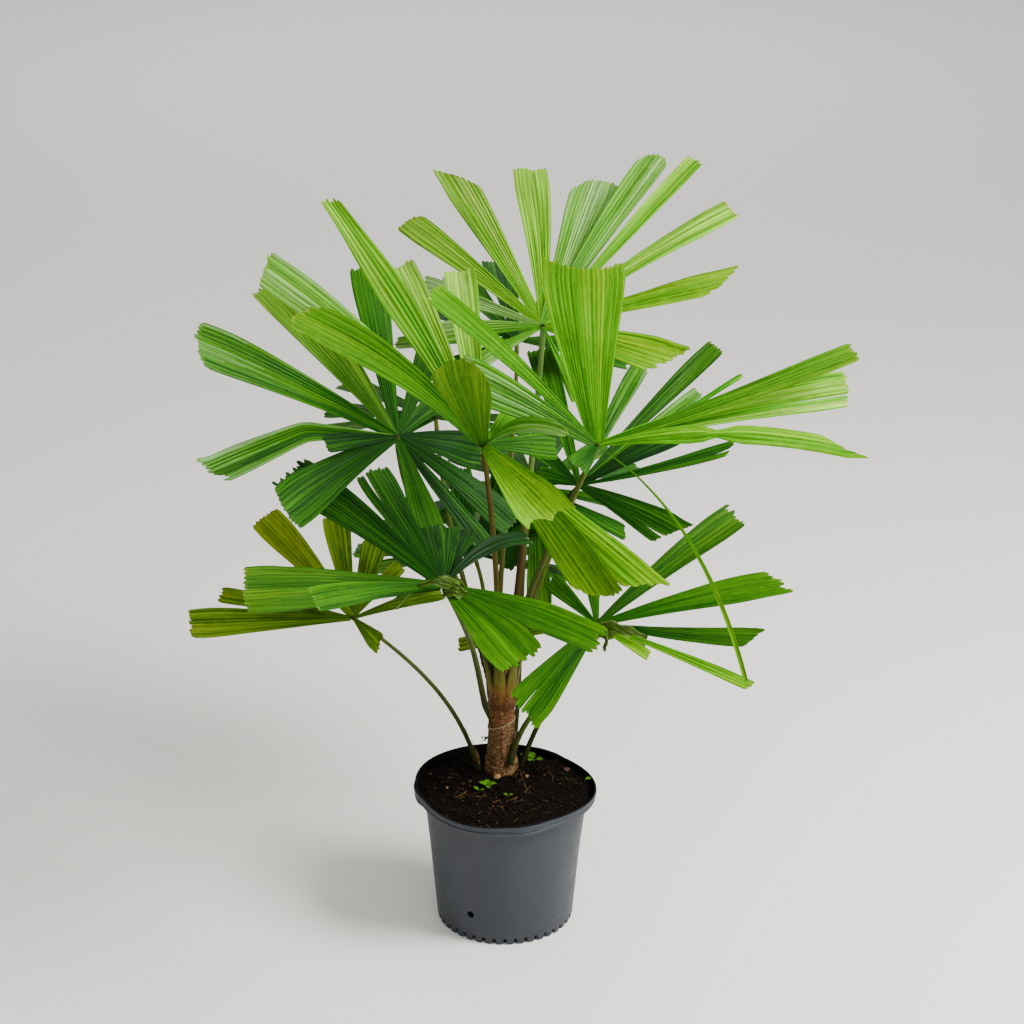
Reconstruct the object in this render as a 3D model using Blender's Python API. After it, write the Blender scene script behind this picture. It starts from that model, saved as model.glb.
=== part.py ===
"""A fan palm in a nursery pot: pot, potting mix, trunk, leaf stalks and fan-shaped fronds.

Metres, +Z up, +X to the right in the front view. The front view, which the fronds' clock
angles are read in, looks along +Y and down by VIEW_PITCH. The origin is the middle of the
pot's flat underside.
"""

import math
import random

import bmesh
import bpy
from mathutils import Vector

GAP = 0.0003
UP = Vector((0, 0, 1))

# Pot
POT_HEIGHT = 0.244
RIM_RADIUS = 0.150
RIM_DEPTH = 0.018
RIM_WIDTH = 0.0055
NECK_RADIUS = 0.1375
NECK_DEPTH = 0.006
WALL_TOP_RADIUS = 0.1345
FOOT_RADIUS = 0.1155
WALL_THICKNESS = 0.0035
FLOOR_THICKNESS = 0.004
PEG_COUNT = 40
PEG_HEIGHT = 0.017
NOTCH_SHARE = 0.30
NOTCH_DEPTH = 0.0022
DRAIN_RADIUS = 0.0065
DRAIN_HEIGHT = 0.047
DRAIN_BEARINGS = (-118, 2, 122)
DRAIN_CUTTER_LENGTH = 0.04

# The pot's top is pressed oval: by what share of its radius, and the bearing of its long axis.
SQUEEZE = 0.018
SQUEEZE_BEARING = math.radians(112)

# Potting mix
MIX_LEVEL = 0.238
MIX_FLAT_RADIUS = 0.105
MIX_EDGE_DROP = 0.006
MIX_SEGMENTS = 40
MIX_CLEARANCE = 0.0007

# Trunk
TRUNK_FOOT = Vector((-0.007, 0.062, MIX_LEVEL + GAP))
TRUNK_TOP = Vector((-0.004, 0.055, 0.400))
TRUNK_FLARE_RADIUS = 0.0295
TRUNK_FOOT_RADIUS = 0.0262
TRUNK_TOP_RADIUS = 0.0265
FLARE_HEIGHT = 0.022
TRUNK_WAIST = 0.0022
TRUNK_ROW_CROWDING = 1.3
TRUNK_ROWS = 9
TRUNK_SIDES = 24

# Leaf stalks
STALK_SIDES = 8
STALK_ROWS = 8
STALK_FOOT_RADIUS = 0.0070
STALK_TIP_RADIUS = 0.0048
STALK_HANDLE = 0.36
CLUSTER_RADIUS = 0.0185
MIX_STALK_CLEARANCE = 0.001
HUB_RADIUS = 0.0115

# Front view
VIEW_PITCH = math.radians(21.7)
VIEW_RIGHT = Vector((1, 0, 0))
VIEW_UP = Vector((0, math.sin(VIEW_PITCH), math.cos(VIEW_PITCH)))
VIEW_BACK = Vector((0, -math.cos(VIEW_PITCH), math.sin(VIEW_PITCH)))

# Leaflets
LEAF_ROWS = (0, 0.42, 0.86, 1)
LEAF_START = 0.004
ROOT_WIDTH = 0.17
TIP_WIDTH = 0.94
FULL_WIDTH_AT = 0.86
FOLD_DEPTH = 0.0022
TOOTH = 0.004
SLIMMEST_LEAF = 0.0036
LEAF_THINNESS = 95
ARCH = 0.015

BLACK_PLASTIC = (0.055, 0.065, 0.075)
DARK_MIX = (0.018, 0.012, 0.009)
BROWN_FIBRE = (0.19, 0.10, 0.055)
OLIVE_STALK = (0.12, 0.15, 0.03)
BROWN_STALK = (0.26, 0.13, 0.04)
LEAF_LIGHT = (0.22, 0.42, 0.06)
LEAF_BRIGHT = (0.25, 0.50, 0.01)
LEAF_DARK = (0.03, 0.16, 0.01)
LEAF_MID = (0.05, 0.22, 0.015)
LEAF_OLD = (0.20, 0.24, 0.02)


def leaflet(clock, length, width, lift=0, slant=0, arch=ARCH):
    """Clock and lift in degrees, length and width in millimetres.

    lift raises it from its fan's plane towards the viewer, slant cuts its end obliquely, and
    arch is how far its middle stands over the straight line to its end, by its length.
    """
    return clock, length / 1000, width / 1000, lift, slant, arch


# Each fan that shows from the front: its hub, the clock angle at which its plane falls back
# with the slope there, and its leaflets clockwise round the hub.
FRONT_FANS = {
    "top": {
        "hub": (0.062, 0.120, 1.010), "falls_back": (-30, 0.85), "tint": LEAF_LIGHT,
        "leaflets": (
            leaflet(-120, 125, 30), leaflet(-92, 185, 40), leaflet(-68, 258, 36),
            leaflet(-49, 394, 46), leaflet(-30, 428, 56), leaflet(-4, 360, 62),
            leaflet(21, 310, 68), leaflet(33, 378, 52), leaflet(42, 392, 34),
            leaflet(58, 358, 38), leaflet(77, 300, 40, slant=-1),
            leaflet(106, 240, 64, slant=-0.9), leaflet(159, 220, 18, lift=12),
        ),
    },
    "left": {
        "hub": (-0.173, 0.050, 0.846), "falls_back": (50, 0.9), "tint": LEAF_DARK,
        "leaflets": (
            leaflet(-126, 272, 80), leaflet(-99, 160, 34, lift=10),
            leaflet(-102, 328, 42, lift=-10, arch=0.15), leaflet(-65, 360, 70),
            leaflet(-43, 322, 36), leaflet(-34, 278, 48), leaflet(-11, 318, 64),
            leaflet(17, 254, 46, lift=-10), leaflet(41, 240, 42, lift=-22),
            leaflet(100, 176, 66, lift=-10), leaflet(127, 238, 56), leaflet(141, 228, 36),
            leaflet(161, 196, 60),
        ),
    },
    "front": {
        "hub": (-0.032, -0.180, 0.915), "falls_back": (0, 0), "tint": LEAF_BRIGHT,
        "leaflets": (
            leaflet(-56, 390, 56, lift=38), leaflet(-51, 420, 55, lift=10),
            leaflet(-32, 444, 36, lift=-5), leaflet(-25, 381, 54, lift=-32),
            leaflet(-14, 285, 98, lift=66, slant=-0.35), leaflet(-8, 355, 54, lift=-36),
            leaflet(40, 170, 44, lift=-50), leaflet(90, 120, 44, lift=-20),
            leaflet(84, 180, 20, lift=45, arch=0.12),
            leaflet(132, 395, 50, lift=40, slant=-1.2), leaflet(137, 310, 62, lift=62),
            leaflet(140, 372, 46, lift=42, slant=-0.8),
        ),
    },
    "right": {
        "hub": (0.142, -0.120, 0.894), "falls_back": (0, 0), "tint": LEAF_BRIGHT,
        "leaflets": (
            leaflet(-138, 66, 40, lift=45), leaflet(-64, 264, 68, lift=25),
            leaflet(-48, 360, 35, lift=22), leaflet(-4, 290, 132, lift=15, slant=-0.1),
            leaflet(70, 430, 34, lift=-5, arch=0), leaflet(77, 424, 62, lift=-15),
            leaflet(91, 400, 30, lift=5, arch=0.05), leaflet(149, 452, 8, lift=25, arch=0.15),
        ),
    },
    "middle_right": {
        "hub": (0.124, 0.150, 0.724), "falls_back": (-20, 0.8), "tint": LEAF_DARK,
        "leaflets": (
            leaflet(-153, 160, 46, lift=-85), leaflet(-75, 80, 34), leaflet(-48, 120, 34),
            leaflet(-15, 317, 50), leaflet(28, 262, 34), leaflet(45, 357, 38),
            leaflet(52, 267, 24), leaflet(56, 343, 10), leaflet(62, 190, 42),
            leaflet(76, 262, 24, arch=-0.01), leaflet(118, 198, 62, slant=-0.8),
        ),
    },
    "low_front": {
        "hub": (-0.093, -0.220, 0.702), "falls_back": (10, 1.2), "tint": LEAF_MID,
        "leaflets": (
            leaflet(-94, 265, 46, lift=30), leaflet(-91, 303, 84), leaflet(-55, 342, 76),
            leaflet(-34, 284, 60), leaflet(-15, 180, 40), leaflet(3, 188, 40),
            leaflet(20, 173, 40), leaflet(62, 185, 24, arch=0.12), leaflet(109, 256, 46),
            leaflet(132, 190, 76, slant=-0.1),
        ),
    },
    "low_left": {
        "hub": (-0.248, 0.0, 0.549), "falls_back": (20, 0.8), "tint": LEAF_OLD,
        "leaflets": (
            leaflet(-91, 268, 54), leaflet(-80, 220, 30, lift=-8), leaflet(-43, 240, 58),
            leaflet(-13, 202, 48), leaflet(14, 162, 44), leaflet(41, 138, 28),
            leaflet(75, 164, 30), leaflet(134, 66, 36, slant=0.5),
        ),
    },
    "low_right": {
        "hub": (0.153, 0.050, 0.515), "falls_back": (-20, 0.8), "tint": LEAF_MID,
        "leaflets": (
            leaflet(-139, 196, 76), leaflet(-100, 262, 26, lift=-18),
            leaflet(-47, 130, 34), leaflet(-7, 200, 46), leaflet(52, 308, 54),
            leaflet(76, 306, 48), leaflet(93, 262, 34, arch=-0.02), leaflet(111, 292, 20, arch=0.05),
            leaflet(120, 126, 20, lift=10),
        ),
    },
}

# Each fan at the back: its hub, the bearing and rise of its middle leaflet, and its reach.
BACK_FANS = {
    "back_left": {"hub": (-0.120, 0.340, 0.775), "bearing": 108, "rise": 6, "reach": 0.24},
    "back_right": {"hub": (0.050, 0.330, 0.650), "bearing": 78, "rise": 6, "reach": 0.24},
    "back_top": {"hub": (0.020, 0.350, 0.915), "bearing": 96, "rise": 16, "reach": 0.26},
    "back_low": {"hub": (-0.055, 0.280, 0.545), "bearing": 112, "rise": 2, "reach": 0.24},
}
BACK_LEAFLETS = 9
BACK_SPREAD = 200
BACK_WIDTH = 0.056
BACK_UNEVEN = 4
BACK_DIP = 0.28
BACK_SIDE_LENGTH = 0.60
BACK_SLANT = 0.4
BACK_SEED = 11

# Each stalk: whether it starts on the trunk's crown, on its side or in the mix beside it, at
# which bearing (and height) round the trunk, how far it leans out there, and which way it is
# heading where it arrives at its fan's hub.
STALKS = {
    "top": {"place": "crown", "bearing": 53, "leans": 0.12, "arrives": (0.06, 0.05, 1)},
    "left": {"place": "crown", "bearing": 207, "leans": 0.12, "arrives": (-0.05, -0.04, 1)},
    "front": {"place": "crown", "bearing": 259, "leans": 0.12, "arrives": (-0.1, -0.45, 1)},
    "right": {"place": "crown", "bearing": 310, "leans": 0.12, "arrives": (0.35, -0.2, 1)},
    "middle_right": {"place": "crown", "bearing": 1, "leans": 0.12, "arrives": (0.4, 0.1, 1)},
    "back_left": {"place": "crown", "bearing": 156, "leans": 0.3, "arrives": (-0.1, 0.6, 1)},
    "back_top": {"place": "crown", "bearing": 104, "leans": 0.2, "arrives": (0.0, 0.6, 1)},
    "low_front": {"place": "side", "bearing": 228, "height": 0.335, "leans": 0.25,
                  "arrives": (-0.35, -0.6, 1)},
    "back_low": {"place": "side", "bearing": 120, "height": 0.330, "leans": 0.4,
                 "arrives": (-0.4, 0.6, 1)},
    "low_left": {"place": "mix", "bearing": 190, "leans": 0.25, "arrives": (-0.95, -0.1, 0.8)},
    "low_right": {"place": "mix", "bearing": 20, "leans": 0.34, "arrives": (0.5, 0.0, 1)},
    "back_right": {"place": "mix", "bearing": 60, "leans": 0.3, "arrives": (0.2, 0.5, 1)},
}


def clear_scene():
    for old in list(bpy.data.objects):
        bpy.data.objects.remove(old)


def material(name, colour, roughness):
    made = bpy.data.materials.new(name)
    made.use_nodes = True
    shader = made.node_tree.nodes["Principled BSDF"]
    shader.inputs["Base Color"].default_value = (*colour, 1)
    shader.inputs["Roughness"].default_value = roughness
    return made


def mesh_object(name, points, faces):
    mesh = bpy.data.meshes.new(name)
    mesh.from_pydata([tuple(point) for point in points], [], faces)
    mesh.validate()
    made = bpy.data.objects.new(name, mesh)
    bpy.context.scene.collection.objects.link(made)
    return made


def move_to(made, collection):
    for holder in made.users_collection:
        holder.objects.unlink(made)
    collection.objects.link(made)


def finish(made, colour, roughness):
    made.data.materials.clear()
    made.data.materials.append(material(made.name, colour, roughness))
    made.data.shade_smooth()
    made.data.set_sharp_from_angle(angle=math.radians(35))


def applied(made):
    """The object with its modifiers baked into its mesh."""
    graph = bpy.context.evaluated_depsgraph_get()
    baked = bpy.data.meshes.new_from_object(made.evaluated_get(graph))
    made.modifiers.clear()
    made.data = baked
    return made


def ring_faces(rings, count):
    """Quads between rings of count points each, in order, closed round."""
    faces = []
    for row in range(rings - 1):
        for k in range(count):
            after = (k + 1) % count
            faces.append((row * count + k, row * count + after,
                          (row + 1) * count + after, (row + 1) * count + k))
    return faces


def on_pot(radius, angle, z):
    """A point this far from the pot's axis, where the top is pressed slightly oval."""
    oval = SQUEEZE * (z / POT_HEIGHT) ** 2 * math.cos(2 * (angle - SQUEEZE_BEARING))
    radius *= 1 + oval
    return radius * math.cos(angle), radius * math.sin(angle), z


def pot_shell():
    """The pot's wall, rolled rim and floor, with notches between the pegs of its foot."""
    rim_z = POT_HEIGHT - RIM_DEPTH
    neck_z = rim_z - NECK_DEPTH
    slope = (WALL_TOP_RADIUS - FOOT_RADIUS) / neck_z
    inside = WALL_TOP_RADIUS - WALL_THICKNESS
    profile = (
        (FOOT_RADIUS, 0.0),
        (FOOT_RADIUS + slope * PEG_HEIGHT, PEG_HEIGHT),
        (WALL_TOP_RADIUS, neck_z),
        (NECK_RADIUS, neck_z + 0.001),
        (NECK_RADIUS, rim_z),
        (RIM_RADIUS, rim_z + 0.001),
        (RIM_RADIUS, POT_HEIGHT - 0.002),
        (RIM_RADIUS - 0.002, POT_HEIGHT),
        (RIM_RADIUS - RIM_WIDTH, POT_HEIGHT),
        (RIM_RADIUS - RIM_WIDTH, rim_z + 0.011),
        (inside, rim_z + 0.002),
        (FOOT_RADIUS - WALL_THICKNESS, FLOOR_THICKNESS),
    )
    pitch = 2 * math.pi / PEG_COUNT
    angles = []
    for peg in range(PEG_COUNT):
        angles += [peg * pitch, peg * pitch + pitch * (1 - NOTCH_SHARE)]
    count = len(angles)
    shell = bmesh.new()
    rings = [[shell.verts.new(on_pot(r, a, z)) for a in angles] for r, z in profile]
    sunk = [[shell.verts.new(on_pot(r - NOTCH_DEPTH, a, z)) for a in angles]
            for r, z in profile[:2]]
    underside = []
    for k in range(count):
        after = (k + 1) % count
        if k % 2 == 0:
            shell.faces.new((rings[0][k], rings[0][after], rings[1][after], rings[1][k]))
            shell.faces.new((sunk[0][k], rings[0][k], rings[1][k], sunk[1][k]))
            shell.faces.new((rings[0][after], sunk[0][after], sunk[1][after], rings[1][after]))
            underside += [sunk[0][k], rings[0][k], rings[0][after], sunk[0][after]]
        else:
            shell.faces.new((sunk[0][k], sunk[0][after], sunk[1][after], sunk[1][k]))
            shell.faces.new((sunk[1][k], sunk[1][after], rings[1][after], rings[1][k]))
        for row in range(1, len(profile) - 1):
            lower, upper = rings[row], rings[row + 1]
            shell.faces.new((lower[k], lower[after], upper[after], upper[k]))
    shell.faces.new(list(reversed(underside)))
    shell.faces.new(rings[-1])
    mesh = bpy.data.meshes.new("pot")
    shell.to_mesh(mesh)
    shell.free()
    made = bpy.data.objects.new("pot", mesh)
    bpy.context.scene.collection.objects.link(made)
    return made


def make_pot():
    pot = pot_shell()
    drains = bpy.data.collections.new("drain_cutters")
    bpy.context.scene.collection.children.link(drains)
    for bearing in DRAIN_BEARINGS:
        a = math.radians(bearing)
        bpy.ops.mesh.primitive_cylinder_add(
            vertices=16, radius=DRAIN_RADIUS, depth=DRAIN_CUTTER_LENGTH,
            location=(FOOT_RADIUS * math.cos(a), FOOT_RADIUS * math.sin(a), DRAIN_HEIGHT),
            rotation=(math.pi / 2, 0, a + math.pi / 2))
        move_to(bpy.context.object, drains)
    cut = pot.modifiers.new("drain holes", "BOOLEAN")
    cut.operation = "DIFFERENCE"
    cut.operand_type = "COLLECTION"
    cut.collection = drains
    pot = applied(pot)
    for cutter in list(drains.objects):
        bpy.data.objects.remove(cutter)
    bpy.data.collections.remove(drains)
    finish(pot, BLACK_PLASTIC, 0.45)


def make_mix():
    """The potting mix: it fills the pot, flat in the middle and lower at the wall."""
    rim_z = POT_HEIGHT - RIM_DEPTH
    lining = WALL_THICKNESS + MIX_CLEARANCE
    rows = (
        (FOOT_RADIUS - lining, FLOOR_THICKNESS + GAP),
        (WALL_TOP_RADIUS - lining, rim_z + 0.002),
        (WALL_TOP_RADIUS - WALL_THICKNESS + 0.003, MIX_LEVEL - MIX_EDGE_DROP),
        (MIX_FLAT_RADIUS, MIX_LEVEL),
    )
    step = 2 * math.pi / MIX_SEGMENTS
    points = [on_pot(r, k * step, z) for r, z in rows for k in range(MIX_SEGMENTS)]
    faces = ring_faces(len(rows), MIX_SEGMENTS)
    faces.append(tuple(reversed(range(MIX_SEGMENTS))))
    faces.append(tuple(range((len(rows) - 1) * MIX_SEGMENTS, len(rows) * MIX_SEGMENTS)))
    finish(mesh_object("potting_mix", points, faces), DARK_MIX, 0.95)


def trunk_axis(z):
    share = (z - TRUNK_FOOT.z) / (TRUNK_TOP.z - TRUNK_FOOT.z)
    return TRUNK_FOOT.lerp(TRUNK_TOP, share)


def trunk_radius(z):
    """Flared at the mix, slimmest half way, and swollen again where the stalks spring."""
    share = (z - TRUNK_FOOT.z) / (TRUNK_TOP.z - TRUNK_FOOT.z)
    flare = (TRUNK_FLARE_RADIUS - TRUNK_FOOT_RADIUS) * math.exp(-(z - TRUNK_FOOT.z) / FLARE_HEIGHT)
    waist = TRUNK_WAIST * math.sin(math.pi * share)
    return TRUNK_FOOT_RADIUS + (TRUNK_TOP_RADIUS - TRUNK_FOOT_RADIUS) * share + flare - waist


def make_trunk():
    points = []
    for row in range(TRUNK_ROWS):
        share = (row / (TRUNK_ROWS - 1)) ** TRUNK_ROW_CROWDING
        centre = TRUNK_FOOT.lerp(TRUNK_TOP, share)
        radius = trunk_radius(centre.z)
        for k in range(TRUNK_SIDES):
            a = 2 * math.pi * k / TRUNK_SIDES
            points.append(centre + radius * Vector((math.cos(a), math.sin(a), 0)))
    faces = ring_faces(TRUNK_ROWS, TRUNK_SIDES)
    faces.append(tuple(reversed(range(TRUNK_SIDES))))
    faces.append(tuple(range(len(points) - TRUNK_SIDES, len(points))))
    finish(mesh_object("trunk", points, faces), BROWN_FIBRE, 0.9)


def stalk_start(rule):
    """Where a stalk's foot is and which way it leaves."""
    a = math.radians(rule["bearing"])
    out = Vector((math.cos(a), math.sin(a), 0))
    heading = (rule["leans"] * out + UP).normalized()
    if rule["place"] == "crown":
        return TRUNK_TOP + CLUSTER_RADIUS * out + GAP * UP, heading
    if rule["place"] == "side":
        height = rule["height"]
        stand_off = trunk_radius(height) + STALK_FOOT_RADIUS * heading.z + GAP
        return trunk_axis(height) + stand_off * out, heading
    stand_off = TRUNK_FLARE_RADIUS + STALK_FOOT_RADIUS + MIX_STALK_CLEARANCE
    return TRUNK_FOOT + stand_off * out, heading


def curve_point(a, b, c, d, t):
    """A point of the cubic through a and d that leaves towards b and arrives from c."""
    s = 1 - t
    return s * s * s * a + 3 * s * s * t * b + 3 * s * t * t * c + t * t * t * d


def stalk_path(name):
    """The stalk's centre line, from its foot to just short of its fan's hub."""
    rule = STALKS[name]
    fan = FRONT_FANS.get(name) or BACK_FANS[name]
    hub = Vector(fan["hub"])
    foot, leaves = stalk_start(rule)
    arrives = Vector(rule["arrives"]).normalized()
    end = hub - (HUB_RADIUS + GAP) * arrives
    handle = STALK_HANDLE * (end - foot).length
    return [curve_point(foot, foot + handle * leaves, end - handle * arrives, end,
                        row / (STALK_ROWS - 1)) for row in range(STALK_ROWS)]


def make_stalk(name):
    path = stalk_path(name)
    points = []
    for row, centre in enumerate(path):
        along = (path[min(row + 1, STALK_ROWS - 1)] - path[max(row - 1, 0)]).normalized()
        if row == 0 and STALKS[name]["place"] != "side":
            along = UP
        side = along.cross(Vector((0, 1, 0))).normalized()
        front = along.cross(side)
        radius = STALK_FOOT_RADIUS + (STALK_TIP_RADIUS - STALK_FOOT_RADIUS) * row / (STALK_ROWS - 1)
        for k in range(STALK_SIDES):
            a = 2 * math.pi * k / STALK_SIDES
            points.append(centre + radius * (math.cos(a) * side + math.sin(a) * front))
    faces = ring_faces(STALK_ROWS, STALK_SIDES)
    faces.append(tuple(reversed(range(STALK_SIDES))))
    faces.append(tuple(range(len(points) - STALK_SIDES, len(points))))
    made = mesh_object("stalk_" + name, points, faces)
    finish(made, BROWN_STALK if name == "front" else OLIVE_STALK, 0.6)


def in_view(clock, lean):
    """The direction at this clock angle in the view, leaning towards the viewer, in radians."""
    flat = math.sin(clock) * VIEW_RIGHT + math.cos(clock) * VIEW_UP
    return math.cos(lean) * flat + math.sin(lean) * VIEW_BACK


def front_leaves(fan):
    """Each leaflet's direction, the way across it, length, width, slant and arch."""
    away, slope = fan["falls_back"]
    away = math.radians(away)
    normal = in_view(away + math.pi / 2, 0).cross(in_view(away, -math.atan(slope)))
    normal = (normal + VIEW_BACK).normalized()
    for clock, length, width, lift, slant, arch in fan["leaflets"]:
        clock = math.radians(clock)
        lean = math.radians(lift) - math.atan(slope * math.cos(clock - away))
        along = in_view(clock, lean)
        yield along, along.cross(normal).normalized(), length, width, slant, arch


def back_leaves(fan, chance):
    """The same for a fan at the back: evenly spread, shorter to the sides, a little uneven."""
    bearing, rise = math.radians(fan["bearing"]), math.radians(fan["rise"])
    middle = Vector((math.cos(bearing) * math.cos(rise), math.sin(bearing) * math.cos(rise),
                     math.sin(rise)))
    side = middle.cross(UP).normalized()
    normal = side.cross(middle)
    for k in range(BACK_LEAFLETS):
        turn = math.radians(BACK_SPREAD * (k / (BACK_LEAFLETS - 1) - 0.5))
        turn += math.radians(chance.uniform(-BACK_UNEVEN, BACK_UNEVEN))
        dip = BACK_DIP * (1 - math.cos(turn)) * chance.uniform(0.6, 1.2)
        along = (math.cos(turn) * middle + math.sin(turn) * side - dip * normal).normalized()
        shortening = (1 - BACK_SIDE_LENGTH) * (1 - math.cos(turn)) / 2
        length = fan["reach"] * (1 - shortening) * chance.uniform(0.92, 1)
        width = BACK_WIDTH * chance.uniform(0.7, 1.1)
        slant = chance.uniform(-BACK_SLANT, BACK_SLANT)
        yield along, along.cross(normal).normalized(), length, width, slant, ARCH


def leaf_folds(width):
    """How many strips across the leaflet has: two for each fold that is modelled."""
    if width < 0.044:
        return 2
    return 4 if width < 0.085 else 8


def leaf_mesh(hub, along, across, length, width, slant, arch):
    """One pleated leaflet as a closed blade that widens from the hub to a cut, toothed end."""
    face = across.cross(along)
    lift = UP - UP.dot(along) * along
    lift = lift.normalized() if lift.length > 0.3 else face
    thick = max(SLIMMEST_LEAF, length / LEAF_THINNESS)
    folds = leaf_folds(width)
    points = []
    for side in (0.5, -0.5):
        for share in LEAF_ROWS:
            spread = ROOT_WIDTH + (1 - ROOT_WIDTH) * min(1, share / FULL_WIDTH_AT)
            spread *= TIP_WIDTH if share == 1 else 1
            rise = arch * length * 4 * share * (1 - share)
            for k in range(folds + 1):
                place = k / folds - 0.5
                reach = LEAF_START + share * (length - LEAF_START)
                if share == 1:
                    reach += slant * place * width + (TOOTH if k % 2 else -TOOTH)
                fold = FOLD_DEPTH * min(1, 2 * share) * (1 if k % 2 else -1)
                points.append(hub + reach * along + place * spread * width * across
                              + rise * lift + (fold + side * thick) * face)
    return points, leaf_faces(len(LEAF_ROWS), folds + 1)


def leaf_faces(rows, columns):
    half = rows * columns
    faces = []
    for row in range(rows - 1):
        for k in range(columns - 1):
            a = row * columns + k
            faces.append((a, a + 1, a + columns + 1, a + columns))
            b = a + half
            faces.append((b, b + columns, b + columns + 1, b + 1))
        for k, turned in ((0, False), (columns - 1, True)):
            a = row * columns + k
            edge = (a, a + columns, a + columns + half, a + half)
            faces.append(tuple(reversed(edge)) if turned else edge)
    for row, turned in ((0, True), (rows - 1, False)):
        for k in range(columns - 1):
            a = row * columns + k
            edge = (a, a + 1, a + 1 + half, a + half)
            faces.append(edge if turned else tuple(reversed(edge)))
    return faces


def facing_out(made):
    shape = bmesh.new()
    shape.from_mesh(made.data)
    bmesh.ops.recalc_face_normals(shape, faces=shape.faces)
    shape.to_mesh(made.data)
    shape.free()


def make_frond(name, hub, leaves, tint):
    """A fan of leaflets, joined at a small hub that sits on the end of its stalk."""
    hub = Vector(hub)
    blades = bpy.data.collections.new("leaflets")
    bpy.context.scene.collection.children.link(blades)
    for leaf in leaves:
        blade = mesh_object("leaflet", *leaf_mesh(hub, *leaf))
        facing_out(blade)
        move_to(blade, blades)
    bpy.ops.mesh.primitive_ico_sphere_add(subdivisions=2, radius=HUB_RADIUS, location=hub)
    frond = bpy.context.object
    frond.name = "frond_" + name
    frond.data.name = frond.name
    join = frond.modifiers.new("leaflets", "BOOLEAN")
    join.operation = "UNION"
    join.operand_type = "COLLECTION"
    join.collection = blades
    join.solver = "MANIFOLD"
    frond = applied(frond)
    for blade in list(blades.objects):
        bpy.data.objects.remove(blade)
    bpy.data.collections.remove(blades)
    finish(frond, tint, 0.45)


def main():
    clear_scene()
    make_pot()
    make_mix()
    make_trunk()
    for name in STALKS:
        make_stalk(name)
    for name, fan in FRONT_FANS.items():
        make_frond(name, fan["hub"], front_leaves(fan), fan["tint"])
    chance = random.Random(BACK_SEED)
    for name, fan in BACK_FANS.items():
        make_frond(name, fan["hub"], back_leaves(fan, chance), LEAF_DARK)


main()
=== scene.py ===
"""Looks of the potted fan palm: pleated leaflets, leaf stalks, trunk, pot and potting mix.

Metres and +Z up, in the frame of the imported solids. The fans, their leaflets and the stalks
follow the same sizes and rules as the solids, carried to finer pleats, teeth and splits.
"""

import math
import random

import bmesh
import bpy
import numpy as np
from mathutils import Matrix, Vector, noise


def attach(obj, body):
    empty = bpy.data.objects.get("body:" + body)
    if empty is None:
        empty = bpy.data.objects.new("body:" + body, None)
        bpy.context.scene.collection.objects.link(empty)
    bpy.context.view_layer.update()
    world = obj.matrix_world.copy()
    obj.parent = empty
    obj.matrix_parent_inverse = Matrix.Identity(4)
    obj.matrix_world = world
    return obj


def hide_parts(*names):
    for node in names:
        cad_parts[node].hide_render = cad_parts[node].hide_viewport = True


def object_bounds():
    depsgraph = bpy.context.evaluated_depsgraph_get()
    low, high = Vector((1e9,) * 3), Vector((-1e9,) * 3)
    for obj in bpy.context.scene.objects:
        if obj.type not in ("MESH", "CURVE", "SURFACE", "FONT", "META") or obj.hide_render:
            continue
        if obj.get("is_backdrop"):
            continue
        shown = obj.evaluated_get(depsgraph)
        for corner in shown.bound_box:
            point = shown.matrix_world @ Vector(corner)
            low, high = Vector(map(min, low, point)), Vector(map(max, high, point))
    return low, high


UP = Vector((0, 0, 1))
SEED = 7

# Camera and the photograph's frame
PICTURE_SIZE = 1024
FOCAL_PIXELS = 2360
SENSOR_WIDTH = 36
CAMERA_PLACE = Vector((0.012, -3.522, 2.141))
CAMERA_PITCH = math.radians(21.753)

# Light, with each lamp's place, target, size, power and colour
LIGHT_LEFT = 0.47
LIGHT_RIGHT = 0.90
LIGHTS = (("key", (2.6, -0.8, 2.95), (0.3, -0.3, 0.2), 1.7, 272, (1.0, 0.99, 0.96)),
          ("front", (0.2, -1.7, 3.0), (0.2, -1.0, 0), 2.0, 27, (1.0, 1.0, 1.0)),
          ("back", (-0.2, 2.3, 3.1), (-0.1, 1.2, 0.4), 2.0, 14, (1.0, 1.0, 1.0)),
          ("far", (-0.1, 7.6, 4.5), (-0.1, 7.8, 0), 2.5, 122, (1.0, 1.0, 1.0)))
FLOOR_REACH = 60

# Front view, which the clock angles are read in
VIEW_PITCH = math.radians(21.7)
VIEW_RIGHT = Vector((1, 0, 0))
VIEW_UP = Vector((0, math.sin(VIEW_PITCH), math.cos(VIEW_PITCH)))
VIEW_BACK = Vector((0, -math.cos(VIEW_PITCH), math.sin(VIEW_PITCH)))

# The pattern maps: their scale to a metre, and how far apart they show neighbouring leaflets
MAP_SCALE = 100
MAP_SHIFT = (37, 11)

# Pot
POT_HEIGHT = 0.244
RIM_RADIUS = 0.150
RIM_Z = 0.226
NECK_RADIUS = 0.1375
NECK_Z = 0.220
WALL_TOP_RADIUS = 0.1345
FOOT_RADIUS = 0.1155
WALL_THICKNESS = 0.0035
PEG_COUNT = 40
PEG_COLUMNS = 12
PEG_STEP = 0.0012
PEG_ROWS = 14
PEG_INSIDE = 0.1095
NOTCH_SHARE = 0.38
NOTCH_DEPTH = 0.0085
NOTCH_HEIGHT = 0.0125
PEG_ROUNDING = 0.0040
RIM_SHIFT = Vector((-0.0026, -0.0022, 0))
RIM_WAVES = ((2, 0.0040, math.radians(-36)), (3, 0.0040, math.radians(3)),
             (4, 0.0025, math.radians(-15)))
DRAIN_RADIUS = 0.0065
DRAIN_HEIGHT = 0.053
DRAIN_DEPTH = 0.04
DRAIN_SIDES = 40
DRAIN_BEARINGS = (-118.5, 1.5, 121.5)
LUG_BEARINGS = (-73, 187, 57)
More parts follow.
